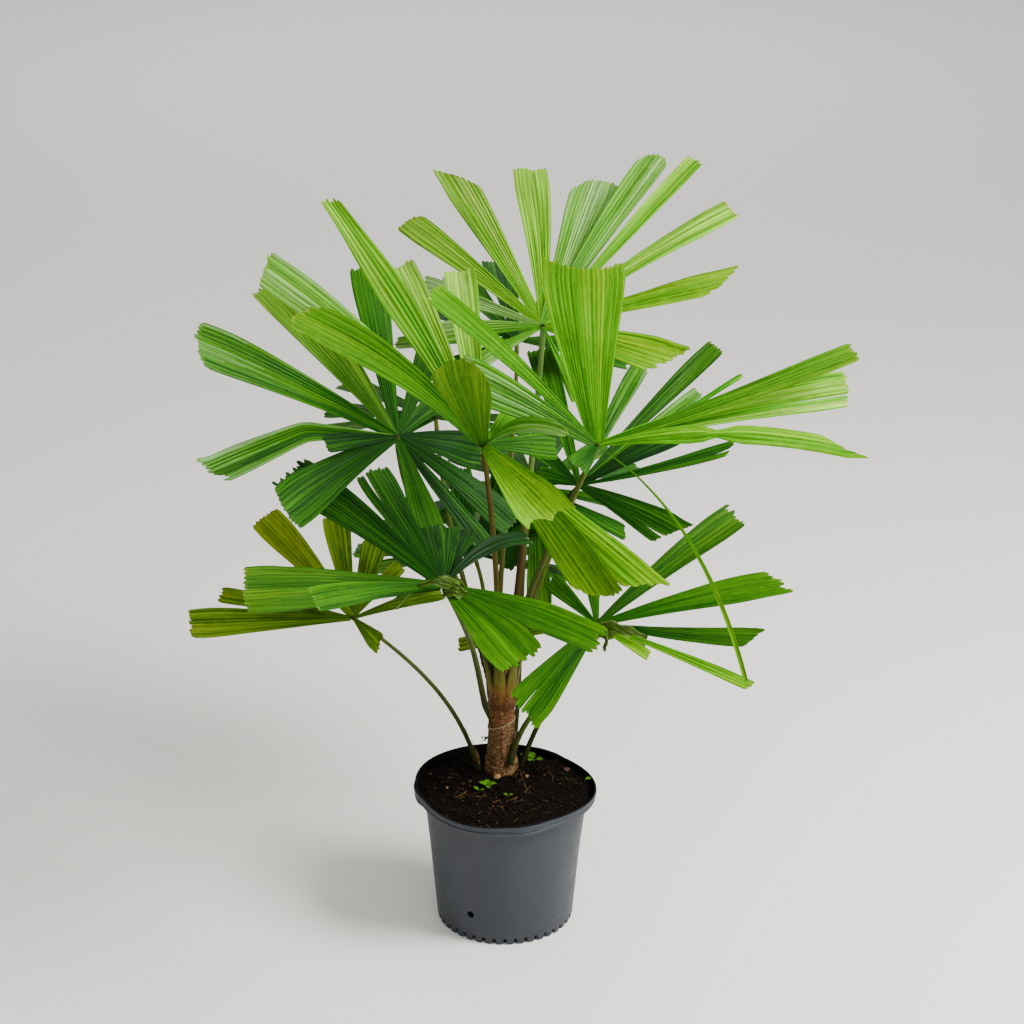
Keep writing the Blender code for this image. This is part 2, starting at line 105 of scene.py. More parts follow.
LUG_HALF_ANGLE = math.radians(11)
LUG_RISE = 0.0030
LUG_DROP = 0.0030
CORNER_STEPS = 3
POT_SHARP = 40

# Potting mix
MIX_LEVEL = 0.238
MIX_EDGE_DROP = 0.0035
MIX_RINGS = 40
MIX_COLUMNS = 120
MIX_LUMPS = 0.0035
CRUMB_COUNT = 2200
CHIP_COUNT = 26
SPECK_COUNT = 46
SCATTER_REACH = 0.138
THREAD_COUNT = 60
THREAD_REACH = 0.120
THREAD_STEP = 0.006
ROOT_RADIUS = 0.00055
TUFT_LEAVES = 14
# Where the photograph shows them, in its pixels: pebbles with size and material, roots, and
# weeds with their leaves and length
PEBBLES = ((497, 778, 0.0065, 2), (527, 776, 0.0035, 2), (567, 768, 0.0062, 3),
           (463, 783, 0.0034, 1), (470, 781, 0.0030, 1), (447, 787, 0.0028, 2),
           (580, 784, 0.0022, 1), (430, 772, 0.0026, 3))
ROOTS = (((455, 796), (464, 794), (474, 797), (486, 797)), ((464, 794), (467, 790)),
         ((493, 802), (500, 799), (503, 808), (507, 817)), ((503, 808), (497, 806)),
         ((506, 802), (516, 797), (527, 789), (531, 785)), ((516, 797), (514, 803)),
         ((527, 789), (523, 781), (520, 772)), ((548, 771), (553, 777), (552, 783)),
         ((484, 790), (487, 799)))
WEEDS = ((487, 787, 4, 0.013), (479, 790, 2, 0.009), (508, 797, 2, 0.009),
         (534, 764, 3, 0.017), (528, 758, 2, 0.013), (584, 781, 1, 0.013))

# Trunk, its strands and sheaths
TRUNK_FOOT = Vector((-0.007, 0.062, MIX_LEVEL + 0.0003))
TRUNK_TOP = Vector((-0.004, 0.055, 0.400))
TRUNK_FLARE_RADIUS = 0.0295
TRUNK_FOOT_RADIUS = 0.0262
TRUNK_TOP_RADIUS = 0.0265
FLARE_HEIGHT = 0.022
TRUNK_WAIST = 0.0022
TRUNK_ROWS = 150
TRUNK_COLUMNS = 120
LEDGES = (0.262, 0.290, 0.318, 0.352, 0.378)
BAND_HEIGHT = 0.3310
BAND_CLIMB = 0.0090
STRAND_COUNT = 220
STRAND_FOOT = 0.242
STRAND_TOP = 0.396
STRAND_HEIGHTS = (0.245, 0.385)
STRAND_TURNS = (-0.11, 0.11)
STRAND_CLIMBS = (-0.0022, 0.0030)
STRAND_LIFTS = (0.0001, 0.0008)
STRAND_RADII = (0.00018, 0.00040)
CLASP_ROWS = 30
CLASP_BELOW = 0.038
CLASP_ABOVE = 0.095
CLASP_OFF = 0.0076
CLASP_EDGE = 0.78
CURL_STEPS = 8
RIB_RISE = 0.0006
SCRAPS = (((480, 771), (476, 747), 0.0058), ((514, 771), (516, 757), 0.0080),
          ((497, 773), (497, 768), 0.0100))
SCRAP_RISE = 0.00172
BROAD_FOOT = ((510, 764, 0.036), (516, 738, 0.040), (524, 718, 0.046))
FOOT_MEETS = 0.40
# Dry leaflets over the hubs: their way in pixels with depths, half widths, the way across, curl
UPRIGHT = (0.25, 0.15, 0.95)
CURLS = (
    (((463, 590, -0.226), (452, 584, -0.244), (438, 580, -0.256), (416, 587, -0.258),
      (397, 607, -0.252)), (0.0150, 0.0022), (0.55, 0.1, 0.83), 0.7),
    (((443, 592, -0.228), (455, 590, -0.246), (466, 596, -0.240)), (0.0110, 0.0090), UPRIGHT, 0.9),
    (((597, 629, 0.036), (612, 630, 0.018), (629, 633, 0.012), (646, 641, 0.022)),
     (0.0190, 0.0095), UPRIGHT, 0.7),
    (((604, 626, 0.030), (607, 637, 0.010), (603, 648, 0.014)), (0.0080, 0.0110),
     (0.1, 0.95, 0.3), 1.0),
    (((325, 612, -0.010), (315, 609, -0.016), (305, 611, -0.010)), (0.0030, 0.0020), UPRIGHT, 0.8),
)
# Stalks, and the knots at their fans
STALK_FOOT_RADIUS = 0.0070
STALK_TIP_RADIUS = 0.0048
STALK_HANDLE = 0.36
HUG_DEPTH = 0.0062
HUG_SHARE = 0.12
STALK_ROWS = 60
STALK_COLUMNS = 20
CLUSTER_RADIUS = 0.0185
MIX_STALK_CLEARANCE = 0.001
GAP = 0.0003
HUB_RADIUS = 0.0115
KNOT_RADIUS = 0.0042
KNOT_RINGS = 9
KNOT_COLUMNS = 16

# Leaflets
LEAF_START = 0.004
ROOT_WIDTH = 0.17
TAPER = 0.06
FULL_WIDTH_AT = 0.86
ARCH = 0.015
SOFTNESS = 12
KINK_SHARPNESS = 14
PLEAT_WIDTH = 0.0078
PLEAT_RISE = 0.0009
STEEPEST_PLEAT = 0.42
STRIP_STEPS = (0, 0.28, 0.72)
FOLD_SHARES = (0.7, 1.3)
FOLD_HEIGHTS = (0.6, 1.1)
BLADE_THICKNESS = 0.0007
BODY_ROWS = 20
TIP_ROWS = 7
TIP_FROM = 0.92
BAND_PLEATS = 3
BAND_TONE = 0.55
PLEAT_TONE = 0.45
STRIP_TONE = 0.35
# Painted shade along each valley of the pleats, and painted highlight along each ridge
VALLEY_TONE = -0.9
RIDGE_TONE = 0.6
TOOTH = 0.0034
TOOTH_PEAKS = (0.25, 0.75)
TOOTH_SIZES = (0.4, 1.3)
UNEVEN_ENDS = 0.0022
FRAYED_ENDS = 0.0008
# Painted shade along each leaflet: tones darken towards the hub and lighten towards the end
TONE_ALONG = (-1.4, 0.7)
TORN = 0.02
DRY_ENDS = 0.35
BAY = 0.065
WAIST_AT = 0.48
WAIST_LENGTH = 0.05
# How unevenly leaflets lie: roll in degrees, sideways bow and cup by their size, waves
ROLL = 11
BOW = 0.012
CUP = (-0.06, 0.12)
WAVE_RISES = (0.0004, 0.0014)
WAVE_TURNS = (8, 15)
SPLIT_LENGTHS = (0.06, 0.30)
SPLIT_GAPS = (0.0010, 0.0022)
SPLIT_LEAN = 0.0045
# Room on the baking map for a leaflet's upper and lower side, by its width
BOTH_SIDES = 2.12
# How strongly a look shows its folds, in their height and in their painted shade and highlight; 1
# where it isn't listed
RELIEF = {"bright": 0.34, "olive": 0.34, "warm": 0.30, "mid": 0.55, "dark": 0.65, "fresh": 0.70,
          "old": 0.65}


def leaflet(clock, length, width, lift=0, slant=0, arch=ARCH, look=None, tone=0, domed=0,
            peak=0, full=FULL_WIDTH_AT, kink=None, torn=TORN, steps=1, bays=0, waist=0,
            taper=TAPER):
    """Clock and lift in degrees, length and width in millimetres.

    lift raises it from its fan's plane towards the viewer, slant cuts its end obliquely, arch
    is how far its middle stands over the straight line to its end, by its length. tone shifts
    its look's tones towards the pale ones: partly its own colour, partly painted light, and a
    low tone partly paints the shade of a leaflet that lies in shadow. domed is the share of
    its length that its edges fall short of where it reaches furthest, which is at peak, -0.5
    to 0.5 across it. full is where along it it is widest, kink where it is bent sharply, and
    torn is the chance that a valley has split open at its end. steps says how uneven its end
    is, bays how many hollows the end has, waist how much it narrows half way and taper how
    much beyond where it is widest.
    """
    return {**locals(), "length": length / 1000, "width": width / 1000}


def front_fan(hub, falls_back, look, leaflets):
    """A fan that shows from the front, with its leaflets clockwise round its hub.

    falls_back is the clock angle at which its plane falls back, and the slope there.
    """
    return locals()


FRONT_FANS = {
    "top": front_fan((0.062, 0.120, 1.010), (-30, 0.85), "light", (
        leaflet(-120, 125, 30, look="silver", tone=0.2),
        leaflet(-92, 185, 40, look="silver", tone=0.4),
        leaflet(-68, 258, 36, look="silver", tone=1.6),
        leaflet(-49, 392, 48, slant=-0.25, domed=0.02, peak=-0.2, tone=1.2),
        leaflet(-28, 422, 60, slant=-1.5, look="pale", tone=1.1, domed=0.03, peak=-0.2,
                torn=0),
        leaflet(-4, 358, 62, slant=-0.15, tone=0.8),
        leaflet(20, 312, 84, look="silver", domed=0.06, peak=0.1, tone=0.8, torn=0),
        leaflet(33, 378, 54, look="silver", tone=-0.2, domed=0.04, peak=0.1),
        leaflet(42, 392, 34, tone=-0.3), leaflet(58, 360, 38, tone=0.6),
        leaflet(77, 305, 42, slant=-1.3, look="fresh", tone=1.0, steps=3.4),
        leaflet(108, 244, 66, slant=-0.9, look="fresh", tone=1.3, steps=2.4),
        leaflet(159, 220, 18, lift=12, tone=-1),
    )),
    "left": front_fan((-0.173, 0.050, 0.846), (50, 0.9), "dark", (
        leaflet(-126, 272, 80, tone=0.4), leaflet(-99, 160, 34, lift=10, tone=-1.4),
        leaflet(-102, 326, 52, lift=-10, slant=1.0, arch=0.12, look="grey", tone=0.3,
                kink=0.49, torn=0.05, steps=2.5),
        leaflet(-65, 362, 72, slant=0.25, look="grey", tone=-0.7, domed=0.03, peak=0.15,
                torn=0.12, steps=2),
        leaflet(-43, 322, 36, look="mid", tone=0.6), leaflet(-34, 278, 48, look="mid", tone=1.2),
        leaflet(-11, 318, 64, tone=0.9), leaflet(17, 254, 46, lift=-10, tone=0.6),
        leaflet(41, 240, 42, lift=-22, tone=0.4),
        leaflet(100, 176, 66, lift=-10, tone=-1.4), leaflet(127, 238, 56, tone=-0.8),
        leaflet(141, 228, 36, tone=-1.0), leaflet(161, 200, 60, look="warm", tone=-0.1),
    )),
    "front": front_fan((-0.032, -0.180, 0.915), (0, 0), "fresh", (
        leaflet(-55, 398, 54, lift=38, slant=-0.5, arch=0.05, look="olive", tone=0.0,
                domed=0.05, full=0.7, steps=1.8),
        leaflet(-51, 420, 57, lift=10, slant=0.3, look="silver", tone=0.2, torn=0.04),
        leaflet(-32, 444, 48, lift=-5, slant=-0.3, look="light", full=0.58, taper=0.45,
                steps=2),
        leaflet(-25, 381, 54, lift=-32, look="pale", tone=1.1, steps=1.6),
        leaflet(-13, 290, 100, lift=66, look="olive", tone=0.4, domed=0.26, peak=-0.16,
                steps=2.2),
        leaflet(-8, 355, 54, lift=-36, look="pale", tone=0.4),
        leaflet(40, 170, 44, lift=-50, look="fresh", tone=0.2),
        # Painted shade: the dark look for a leaflet that lies in the shadow of others
        leaflet(90, 120, 44, lift=-20, look="dark", tone=0.5),
        leaflet(84, 180, 24, lift=45, arch=0.12, look="silver", domed=0.15, full=0.5),
        leaflet(131, 395, 50, lift=39, slant=-1.2, look="fresh", tone=0.6, steps=2),
        leaflet(138, 322, 76, lift=62, slant=-0.30, look="bright", tone=0.9, domed=-0.03,
                bays=2, torn=0),
        leaflet(142, 376, 62, lift=43, slant=-1.0, look="olive", tone=0.2, domed=0.02,
                peak=-0.1, full=0.75, steps=1.6, torn=0),
    )),
    "right": front_fan((0.142, -0.120, 0.894), (0, 0), "bright", (
        leaflet(-138, 66, 40, lift=45, look="warm", tone=-1.1),
        leaflet(-64, 264, 68, lift=25, look="grey"),
        leaflet(-48, 360, 35, lift=22, tone=-0.5),
        leaflet(-5, 275, 134, lift=15, slant=-0.12, tone=0.0, domed=-0.06, full=0.94,
                torn=0),
        leaflet(70, 430, 34, lift=-5, arch=0, look="olive", tone=-0.7, steps=2),
        leaflet(77, 424, 62, lift=-15, look="pale", torn=0.15, steps=1.6),
        leaflet(91, 380, 30, lift=5, slant=2.6, arch=0.05, tone=0.3, full=0.35, waist=0.6),
        leaflet(149, 452, 8, lift=25, arch=0.15, look="olive", tone=0.6),
    )),
    "middle_right": front_fan((0.124, 0.150, 0.724), (-20, 0.8), "dark", (
        leaflet(-153, 160, 46, lift=-85), leaflet(-75, 80, 34), leaflet(-48, 120, 34),
        leaflet(-15, 317, 50, tone=1.3), leaflet(28, 262, 34, look="grey", tone=-0.8),
        leaflet(45, 357, 38, torn=0.15, look="mid", tone=-1.0),
        leaflet(52, 267, 24, look="grey", tone=-0.5),
        leaflet(56, 343, 10, look="fresh", tone=-1.4), leaflet(62, 190, 42, tone=-1.3),
        leaflet(76, 262, 26, slant=-0.9, arch=-0.01, tone=-0.2, torn=0.1),
        leaflet(118, 198, 62, slant=-0.8, torn=0.1),
    )),
    "low_front": front_fan((-0.093, -0.220, 0.702), (10, 1.2), "mid", (
        leaflet(-94, 265, 46, lift=30, look="warm", tone=-1.0),
        leaflet(-91, 303, 84, tone=-0.5, steps=1.6),
        leaflet(-55, 342, 76, look="dark", tone=0.5, steps=2.4),
        leaflet(-34, 284, 60, look="dark", tone=0.3, steps=1.6),
        leaflet(-15, 138, 42, look="dark", tone=-0.5),
        leaflet(3, 140, 42, look="dark", tone=-0.5),
        leaflet(20, 142, 42, look="dark", tone=-1.2),
        # Painted shade: the dark look at its lowest tone for a leaflet in shadow
        leaflet(62, 185, 26, arch=0.12, look="dark", tone=-2.2, full=0.5),
        leaflet(109, 256, 50, look="warm", tone=0.1, full=0.6, steps=2.4),
        leaflet(132, 192, 80, slant=-0.1, look="warm", tone=0.3, full=0.75, steps=1.8),
    )),
    "low_left": front_fan((-0.248, 0.0, 0.549), (20, 0.8), "old", (
        leaflet(-91, 268, 54, slant=0.1, tone=-0.2, torn=0.12),
        leaflet(-80, 220, 30, lift=-8, tone=0.5),
        leaflet(-43, 240, 58, tone=1.4, torn=0.1), leaflet(-13, 202, 48, tone=0.6),
        leaflet(14, 162, 44, tone=-0.9), leaflet(41, 138, 28), leaflet(75, 164, 30, tone=-1.1),
        leaflet(134, 66, 36, slant=0.5, tone=-0.5),
    )),
    "low_right": front_fan((0.153, 0.050, 0.515), (-20, 0.8), "mid", (
        leaflet(-139, 198, 78, slant=-0.28, look="warm", tone=0.2, torn=0.08, steps=2.2),
        leaflet(-100, 262, 26, lift=-18, look="old"),
        leaflet(-47, 130, 34, look="dark", tone=1), leaflet(-7, 200, 46, look="warm", tone=0.6),
        leaflet(53, 306, 56, tone=-0.4, torn=0.06, steps=2),
        leaflet(77, 312, 50, slant=0.6, look="olive", tone=-0.2, torn=0.06, full=0.75,
                steps=3),
        leaflet(94, 268, 34, slant=-0.9, arch=-0.02, tone=-0.5, torn=0.15),
        leaflet(111, 292, 20, slant=-0.6, look="fresh", tone=-0.3),
        leaflet(120, 126, 20, lift=10, slant=0.5, look="fresh", tone=1.2),
    )),
}

# Each fan at the back: its hub, the bearing and rise of its middle leaflet, its reach, and the
# leaflets that hang forward and show between the stalks.
BACK_FANS = {
    "back_left": {"hub": (-0.120, 0.340, 0.775), "bearing": 108, "rise": 6, "reach": 0.24},
    "back_right": {"hub": (0.050, 0.330, 0.650), "bearing": 78, "rise": 6, "reach": 0.24,
                   "forward": (leaflet(177, 206, 46, look="mid", tone=-0.6),
                               leaflet(-158, 150, 44, look="dark", tone=-0.8),
                               leaflet(148, 150, 44, look="dark", tone=-0.6))},
    "back_top": {"hub": (0.020, 0.350, 0.915), "bearing": 96, "rise": 16, "reach": 0.26},
    "back_low": {"hub": (-0.055, 0.280, 0.545), "bearing": 112, "rise": 2, "reach": 0.24,
                 "forward": (leaflet(-10, 150, 46, look="dark", tone=-0.8),
                             leaflet(22, 170, 50, look="dark", tone=-1.2),
                             leaflet(44, 180, 50, look="dark", tone=-0.9),
                             leaflet(66, 176, 40, look="dark", tone=-1.1))},
}
# The fans at the back mostly take the dark look, partly painted shade, as they lie in shadow
BACK_LOOKS = ("dark", "mid", "dark", "warm")
BACK_LEAFLETS = 9
BACK_SPREAD = 200
BACK_WIDTH = 0.056
BACK_UNEVEN = 4
BACK_DIP = 0.28
BACK_DIPS = (0.6, 1.2)
BACK_LENGTHS = (0.92, 1)
BACK_WIDTHS = (0.7, 1.1)
BACK_SIDE_LENGTH = 0.60
BACK_SLANT = 0.4
BACK_SEED = 11


def stalk(place, bearing, arrives, girth, leans=0.12, tint="olive", height=None, handle=1):
    """One stalk, which starts on the trunk's crown, on its side or in the mix beside it.

    bearing (and height) say where round the trunk, leans how far it leans out there, arrives
    which way it is heading at its fan's hub and handle how long it keeps to its first way.
    """
    return locals()


STALKS = {
    "top": stalk("crown", 53, (0.06, 0.05, 1), 0.95, tint="green"),
    "left": stalk("crown", 207, (-0.05, -0.04, 1), 0.85, handle=1.35),
    "front": stalk("crown", 259, (-0.1, -0.45, 1), 0.78, tint="brown"),
    "right": stalk("crown", 310, (0.35, -0.2, 1), 0.88),
    "middle_right": stalk("crown", 1, (0.4, 0.1, 1), 0.78),
    "back_left": stalk("crown", 156, (-0.1, 0.6, 1), 0.72, 0.3),
    "back_top": stalk("crown", 104, (0.0, 0.6, 1), 0.74, 0.2),
    "low_front": stalk("side", 228, (-0.35, -0.6, 1), 0.80, 0.25, "dark", height=0.335),
    "back_low": stalk("side", 120, (-0.4, 0.6, 1), 0.70, 0.4, height=0.330),
    "low_left": stalk("mix", 190, (-0.95, -0.1, 0.8), 0.62, 0.25, "dark"),
    "low_right": stalk("mix", 20, (0.5, 0.0, 1), 0.66, 0.34, "dark"),
    "back_right": stalk("mix", 60, (0.2, 0.5, 1), 0.62, 0.3, "dark"),
}

# Leaf colours, 0 to 255 as they show, with the light and shade they show in: deep, middle,
# pale, and the leaflet's cut end. Each strip of a leaflet takes one of five tones from deep to
# pale. The whitish pale, silver and grey looks are partly painted sheen of the sky, and the
# dark look is partly painted shade for leaflets in shadow.
LOOKS = {
    "light": ((78, 146, 30), (128, 184, 72), (168, 212, 124), (150, 184, 74)),
    # Partly painted sheen: the whitish pale of sky reflected on the leaflets.
    "pale": ((92, 160, 36), (142, 198, 80), (184, 222, 140), (168, 198, 90)),
    # Partly painted sheen: the whitish pale of sky reflected on the leaflets.
    "silver": ((86, 148, 60), (134, 186, 110), (174, 210, 156), (146, 184, 96)),
    "bright": ((66, 118, 0), (112, 172, 0), (154, 202, 0), (182, 202, 4)),
    "fresh": ((72, 134, 12), (122, 180, 38), (162, 202, 86), (160, 188, 44)),
    "olive": ((50, 98, 2), (86, 132, 4), (120, 158, 12), (150, 166, 14)),
    "warm": ((34, 74, 1), (64, 110, 3), (94, 140, 16), (120, 146, 20)),
    "mid": ((36, 76, 8), (72, 114, 28), (116, 152, 72), (108, 136, 40)),
    # Partly painted shade: leaflets that lie in shadow.
    "dark": ((20, 52, 2), (44, 88, 8), (76, 126, 32), (72, 108, 24)),
    # Partly painted sheen: grey-green highlights where the sky reflects on the leaflets.
    "grey": ((38, 84, 28), (88, 136, 70), (140, 182, 130), (104, 142, 64)),
    "old": ((64, 90, 26), (102, 130, 52), (142, 160, 88), (118, 92, 40)),
    "husk": ((62, 80, 48), (104, 126, 78), (142, 160, 112), (118, 92, 40)),
}
WARM_LOOKS = ("bright", "fresh", "olive", "warm", "old")
TONES = ("deep", "low", "middle", "high", "pale", "end")
END = TONES.index("end")
LEAF_GAIN = 0.76
LEAF_RICHNESS = 1.45

# Stalk colours from foot to tip, 0 to 255 as they show, each with its place along the stalk
STALK_COLOURS = {
    "olive": ((0.04, (50, 58, 12)), (0.30, (60, 64, 12)), (0.62, (64, 78, 16)),
              (0.95, (78, 92, 24))),
    "brown": ((0.04, (50, 50, 8)), (0.40, (66, 64, 10)), (0.90, (78, 68, 14))),
    "green": ((0.04, (56, 46, 12)), (0.45, (64, 48, 12)), (0.68, (86, 118, 44)),
              (0.95, (90, 126, 54))),
    "dark": ((0.02, (34, 40, 14)), (0.20, (50, 58, 20)), (0.90, (70, 84, 30))),
    "sheath": ((0.10, (92, 58, 32)), (0.34, (132, 94, 44)), (0.50, (108, 104, 34)),
               (0.80, (70, 82, 28))),
    "sheath_edge": ((0.10, (92, 58, 32)), (0.40, (62, 52, 24)), (0.80, (34, 44, 16))),
}
FAN_SLOTS = {"light": "leaf_light", "bright": "leaf_bright", "fresh": "leaf_bright",
             "dark": "leaf_dark", "mid": "leaf_mid", "old": "leaf_old"}


def albedo(colour, gain=1, richness=1):
    """A colour given as 0 to 255 on screen, as linear light, brighter and richer if asked."""
    shares = [c / 255 for c in colour]
    linear = [c / 12.92 if c <= 0.04045 else ((c + 0.055) / 1.055) ** 2.4 for c in shares]
    grey = 0.2126 * linear[0] + 0.7152 * linear[1] + 0.0722 * linear[2]
    shares = (1 + 0.5 * (richness - 1), 1 + 0.8 * (richness - 1), richness)
    rich = [gain * (grey + (c - grey) * share) for c, share in zip(linear, shares)]
    return tuple(min(0.95, max(0.001, c)) for c in rich) + (1,)


def between(first, second):
    return tuple((a + b) / 2 for a, b in zip(first, second))


def tinted(colour, gain):
    return tuple(min(0.95, gain * c) for c in colour[:3]) + (1,)


class Nodes:
    """A node tree, with short ways to add nodes to it."""

    def __init__(self, tree):
        self.tree = tree

    def give(self, socket, value):
        """Sets an input to a value, or joins it to an output."""
        if isinstance(value, bpy.types.NodeSocket):
            self.tree.links.new(value, socket)
        else:
            socket.default_value = value

    def add(self, kind, inputs=None, **settings):
        node = self.tree.nodes.new(kind)
        for name, value in settings.items():
            setattr(node, name, value)
        for name, value in (inputs or {}).items():
            self.give(node.inputs[name], value)
        return node


class Paint(Nodes):
    """A material, with its shader and the patterns that the plant's surfaces share."""

    def __init__(self, name, roughness, specular):
        self.material = bpy.data.materials.new(name)
        self.material.use_nodes = True
        super().__init__(self.material.node_tree)
        self.shader = self.tree.nodes["Principled BSDF"].inputs
        self.give(self.shader["Roughness"], roughness)
        self.give(self.shader["Specular IOR Level"], specular)

    def place(self, scale, turned=0):
        """The leaf map for a scale of two numbers, turned if asked, or the object's space."""
        if len(scale) == 3:
            found = self.add("ShaderNodeTexCoord").outputs["Object"]
        else:
            found = self.add("ShaderNodeUVMap", uv_map="leaf").outputs["UV"]
        if turned:
            found = self.add("ShaderNodeVectorRotate", {"Angle": turned, "Vector": found},
                             rotation_type="Z_AXIS").outputs["Vector"]
        return self.add("ShaderNodeMapping", {"Scale": (*scale, 1)[:3], "Vector": found}).outputs[0]

    def noise(self, scale, detail=3, roughness=0.55, size=1.0, turned=0):
        made = {"Scale": size, "Detail": detail, "Roughness": roughness,
                "Vector": self.place(scale, turned)}
        return self.add("ShaderNodeTexNoise", made).outputs["Fac"]

    def along(self, pattern, wander):
        """How far along its piece a point is, 0 to 1, give or take a share of a pattern."""
        leaf = self.add("ShaderNodeUVMap", uv_map="leaf").outputs["UV"]
        split = self.add("ShaderNodeSeparateXYZ", {0: leaf})
        return self.add("ShaderNodeMath", {0: pattern, 1: wander, 2: split.outputs["Y"]},
                        operation="MULTIPLY_ADD").outputs[0]

    def ramp(self, factor, *stops):
        """Each stop is a position with a colour, or with a grey as one number, in order."""
        made = self.add("ShaderNodeValToRGB", {"Fac": factor})
        elements = made.color_ramp.elements
        while len(elements) < len(stops):
            elements.new(0.5)
        for element, (position, colour) in zip(elements, stops):
            element.position = position
            element.color = colour if isinstance(colour, tuple) else (colour,) * 3 + (1,)
        return made.outputs["Color"]

    def mix(self, factor, first, second, blend="MIX"):
        """factor is a number or an output; first and second are outputs or colours."""
        return self.add("ShaderNodeMix", {0: factor, 6: first, 7: second}, data_type="RGBA",
                        blend_type=blend).outputs[2]

    def done(self, colour, height=None, strength=0.0, distance=0.0):
        """The material, with this colour and, if a height is given, its bump."""
        self.give(self.shader["Base Color"], colour)
        if height:
            made = self.add("ShaderNodeBump", {"Strength": strength, "Distance": distance,
                                               "Height": height})
            self.give(self.shader["Normal"], made.outputs["Normal"])
        return self.material


def leaf_material(name, colour, warms, relief):
    """Fine veins along the leaflet, broader streaks and faint blotches round one colour."""
    made = Paint(name, 0.52, 0.06 if warms else 0.09)
    veins = made.noise((6.0, 0.05))
    streaks = made.noise((2.4, 0.05), detail=4)
    ribs = made.noise((1.9, 0.012), detail=1)
    blotches = made.noise((0.9, 0.45), detail=4)
    swing = 0.55 + 0.45 * relief
    tone = made.ramp(streaks, (0.38, tinted(colour, 1 - 0.40 * swing)), (0.50, colour),
                     (0.64, tinted(colour, 1 + 0.42 * swing)))
    vein = made.ramp(veins, (0.40, (0.46, 0.56, 0.42, 1)), (0.54, 1))
    tone = made.mix(0.85, tone, vein, "MULTIPLY")
    rib = made.ramp(ribs, (0.44, 1), (0.50, (0.46, 0.62, 0.34, 1)), (0.56, 1))
    tone = made.mix(0.8, tone, rib, "MULTIPLY")
    yellower = (min(0.95, colour[0] * 1.10 + 0.004), colour[1] * 1.08, colour[2] * 0.5, 1)
    patch = made.ramp(blotches, (0.48, 0), (0.70, 0.6))
    tone = made.mix(patch, tone, yellower if warms else tinted(colour, 0.86))
    return made.done(tone, veins, 0.30, 0.0005)


def leaf_end_material(name, colour):
    """The dry, paler rim of a leaflet's cut end, flecked with brown."""
    made = Paint(name, 0.65, 0.3)
    return made.done(made.ramp(made.noise((5.0, 4.0)), (0.44, tinted(colour, 0.8)),
                               (0.62, tinted(colour, 0.6)), (0.74, albedo((104, 82, 36)))))


def leaf_materials():
    """Every look's materials: look name to a list in the order of TONES."""
    found = {}
    for look, colours in LOOKS.items():
        deep, middle, pale, end = (albedo(c, LEAF_GAIN, LEAF_RICHNESS) for c in colours)
        tones = (deep, between(deep, middle), middle, between(middle, pale), pale)
        found[look] = [
            leaf_material(f"leaf_{look}_{tone}", colour, look in WARM_LOOKS, RELIEF.get(look, 1))
            for tone, colour in zip(TONES, tones)]
        found[look].append(leaf_end_material(f"leaf_{look}_end", end))
    return found


def stalk_material(name, *stops):
    """Smooth and fibrous along, its colours changing from foot to tip as stops say."""
    made = Paint(name, 0.65, 0.10)
    grain = made.noise((34.0, 3.0))
    blotches = made.noise((5.0, 12.0), detail=4)
    tone = made.ramp(made.along(blotches, 0.16), *((place, albedo(c)) for place, c in stops))
    fine = made.ramp(grain, (0.30, 0.58), (0.62, 1))
    patch = made.ramp(blotches, (0.40, (0.72, 0.66, 0.60, 1)), (0.60, 1))
    tone = made.mix(0.7, made.mix(0.9, tone, fine, "MULTIPLY"), patch, "MULTIPLY")
    return made.done(tone, grain, 0.5, 0.0006)


def fibre_material(name, dark, middle, pale):
    """Dry palm fibre: fine strands that cross aslant, in mats with dark gaps."""
    dark, middle, pale = albedo(dark), albedo(middle), albedo(pale)
    made = Paint(name, 0.95, 0.10)
    across = made.noise((0.7, 4.6), detail=6, roughness=0.72, turned=0.2)
    aslant = made.noise((0.8, 4.0), detail=6, roughness=0.72, turned=-0.6)
    mats = made.noise((0.7, 1.5), detail=5)
    first = made.ramp(across, (0.38, dark), (0.50, middle), (0.64, pale))
    second = made.ramp(aslant, (0.40, dark), (0.52, middle), (0.66, pale))
    shade = made.ramp(mats, (0.32, (0.40, 0.34, 0.32, 1)), (0.60, 1))
    choice = made.ramp(mats, (0.46, 0), (0.56, 1))
    tone = made.mix(0.85, made.mix(choice, first, second), shade, "MULTIPLY")
    return made.done(tone, across, 1.0, 0.0016)


def plain_material(name, colour, roughness, spread=0.35, size=60.0, bump=0.4, distance=0.0005,
                   specular=0.4):
    """One colour with an even, fine mottle and grain."""
    made = Paint(name, roughness, specular)
    colour = albedo(colour)
    mottle = made.noise((1, 1, 1), detail=5, size=size)
    tone = made.ramp(mottle, (0.30, tinted(colour, 1 - spread)), (0.52, colour),
                     (0.75, tinted(colour, 1 + spread)))
    return made.done(tone, mottle, bump, distance)


def pot_material():
    """Slate plastic with a fine grain, faint scuffs and a bloom of dust."""
    made = Paint("pot_plastic", 0.52, 0.34)
    base = albedo((42, 47, 55))
    cloud = made.noise((1, 1, 0.45), detail=5, size=9.0)
    tone = made.ramp(cloud, (0.30, tinted(base, 0.84)), (0.55, base), (0.80, tinted(base, 1.18)))
    scuffs = made.noise((1, 1, 3.5), detail=7, roughness=0.7, size=34.0)
    dust = made.ramp(scuffs, (0.58, 0), (0.80, 0.30))
    tone = made.mix(dust, tone, albedo((88, 90, 94)))
    made.give(made.shader["Roughness"], made.ramp(scuffs, (0.35, 0.46), (0.75, 0.64)))
    return made.done(tone, made.noise((1, 1, 1), detail=2, size=420.0), 0.18, 0.0004)


def put(name, data):
    """A new object in the scene."""
    made = bpy.data.objects.new(name, data)
    bpy.context.scene.collection.objects.link(made)
    return made


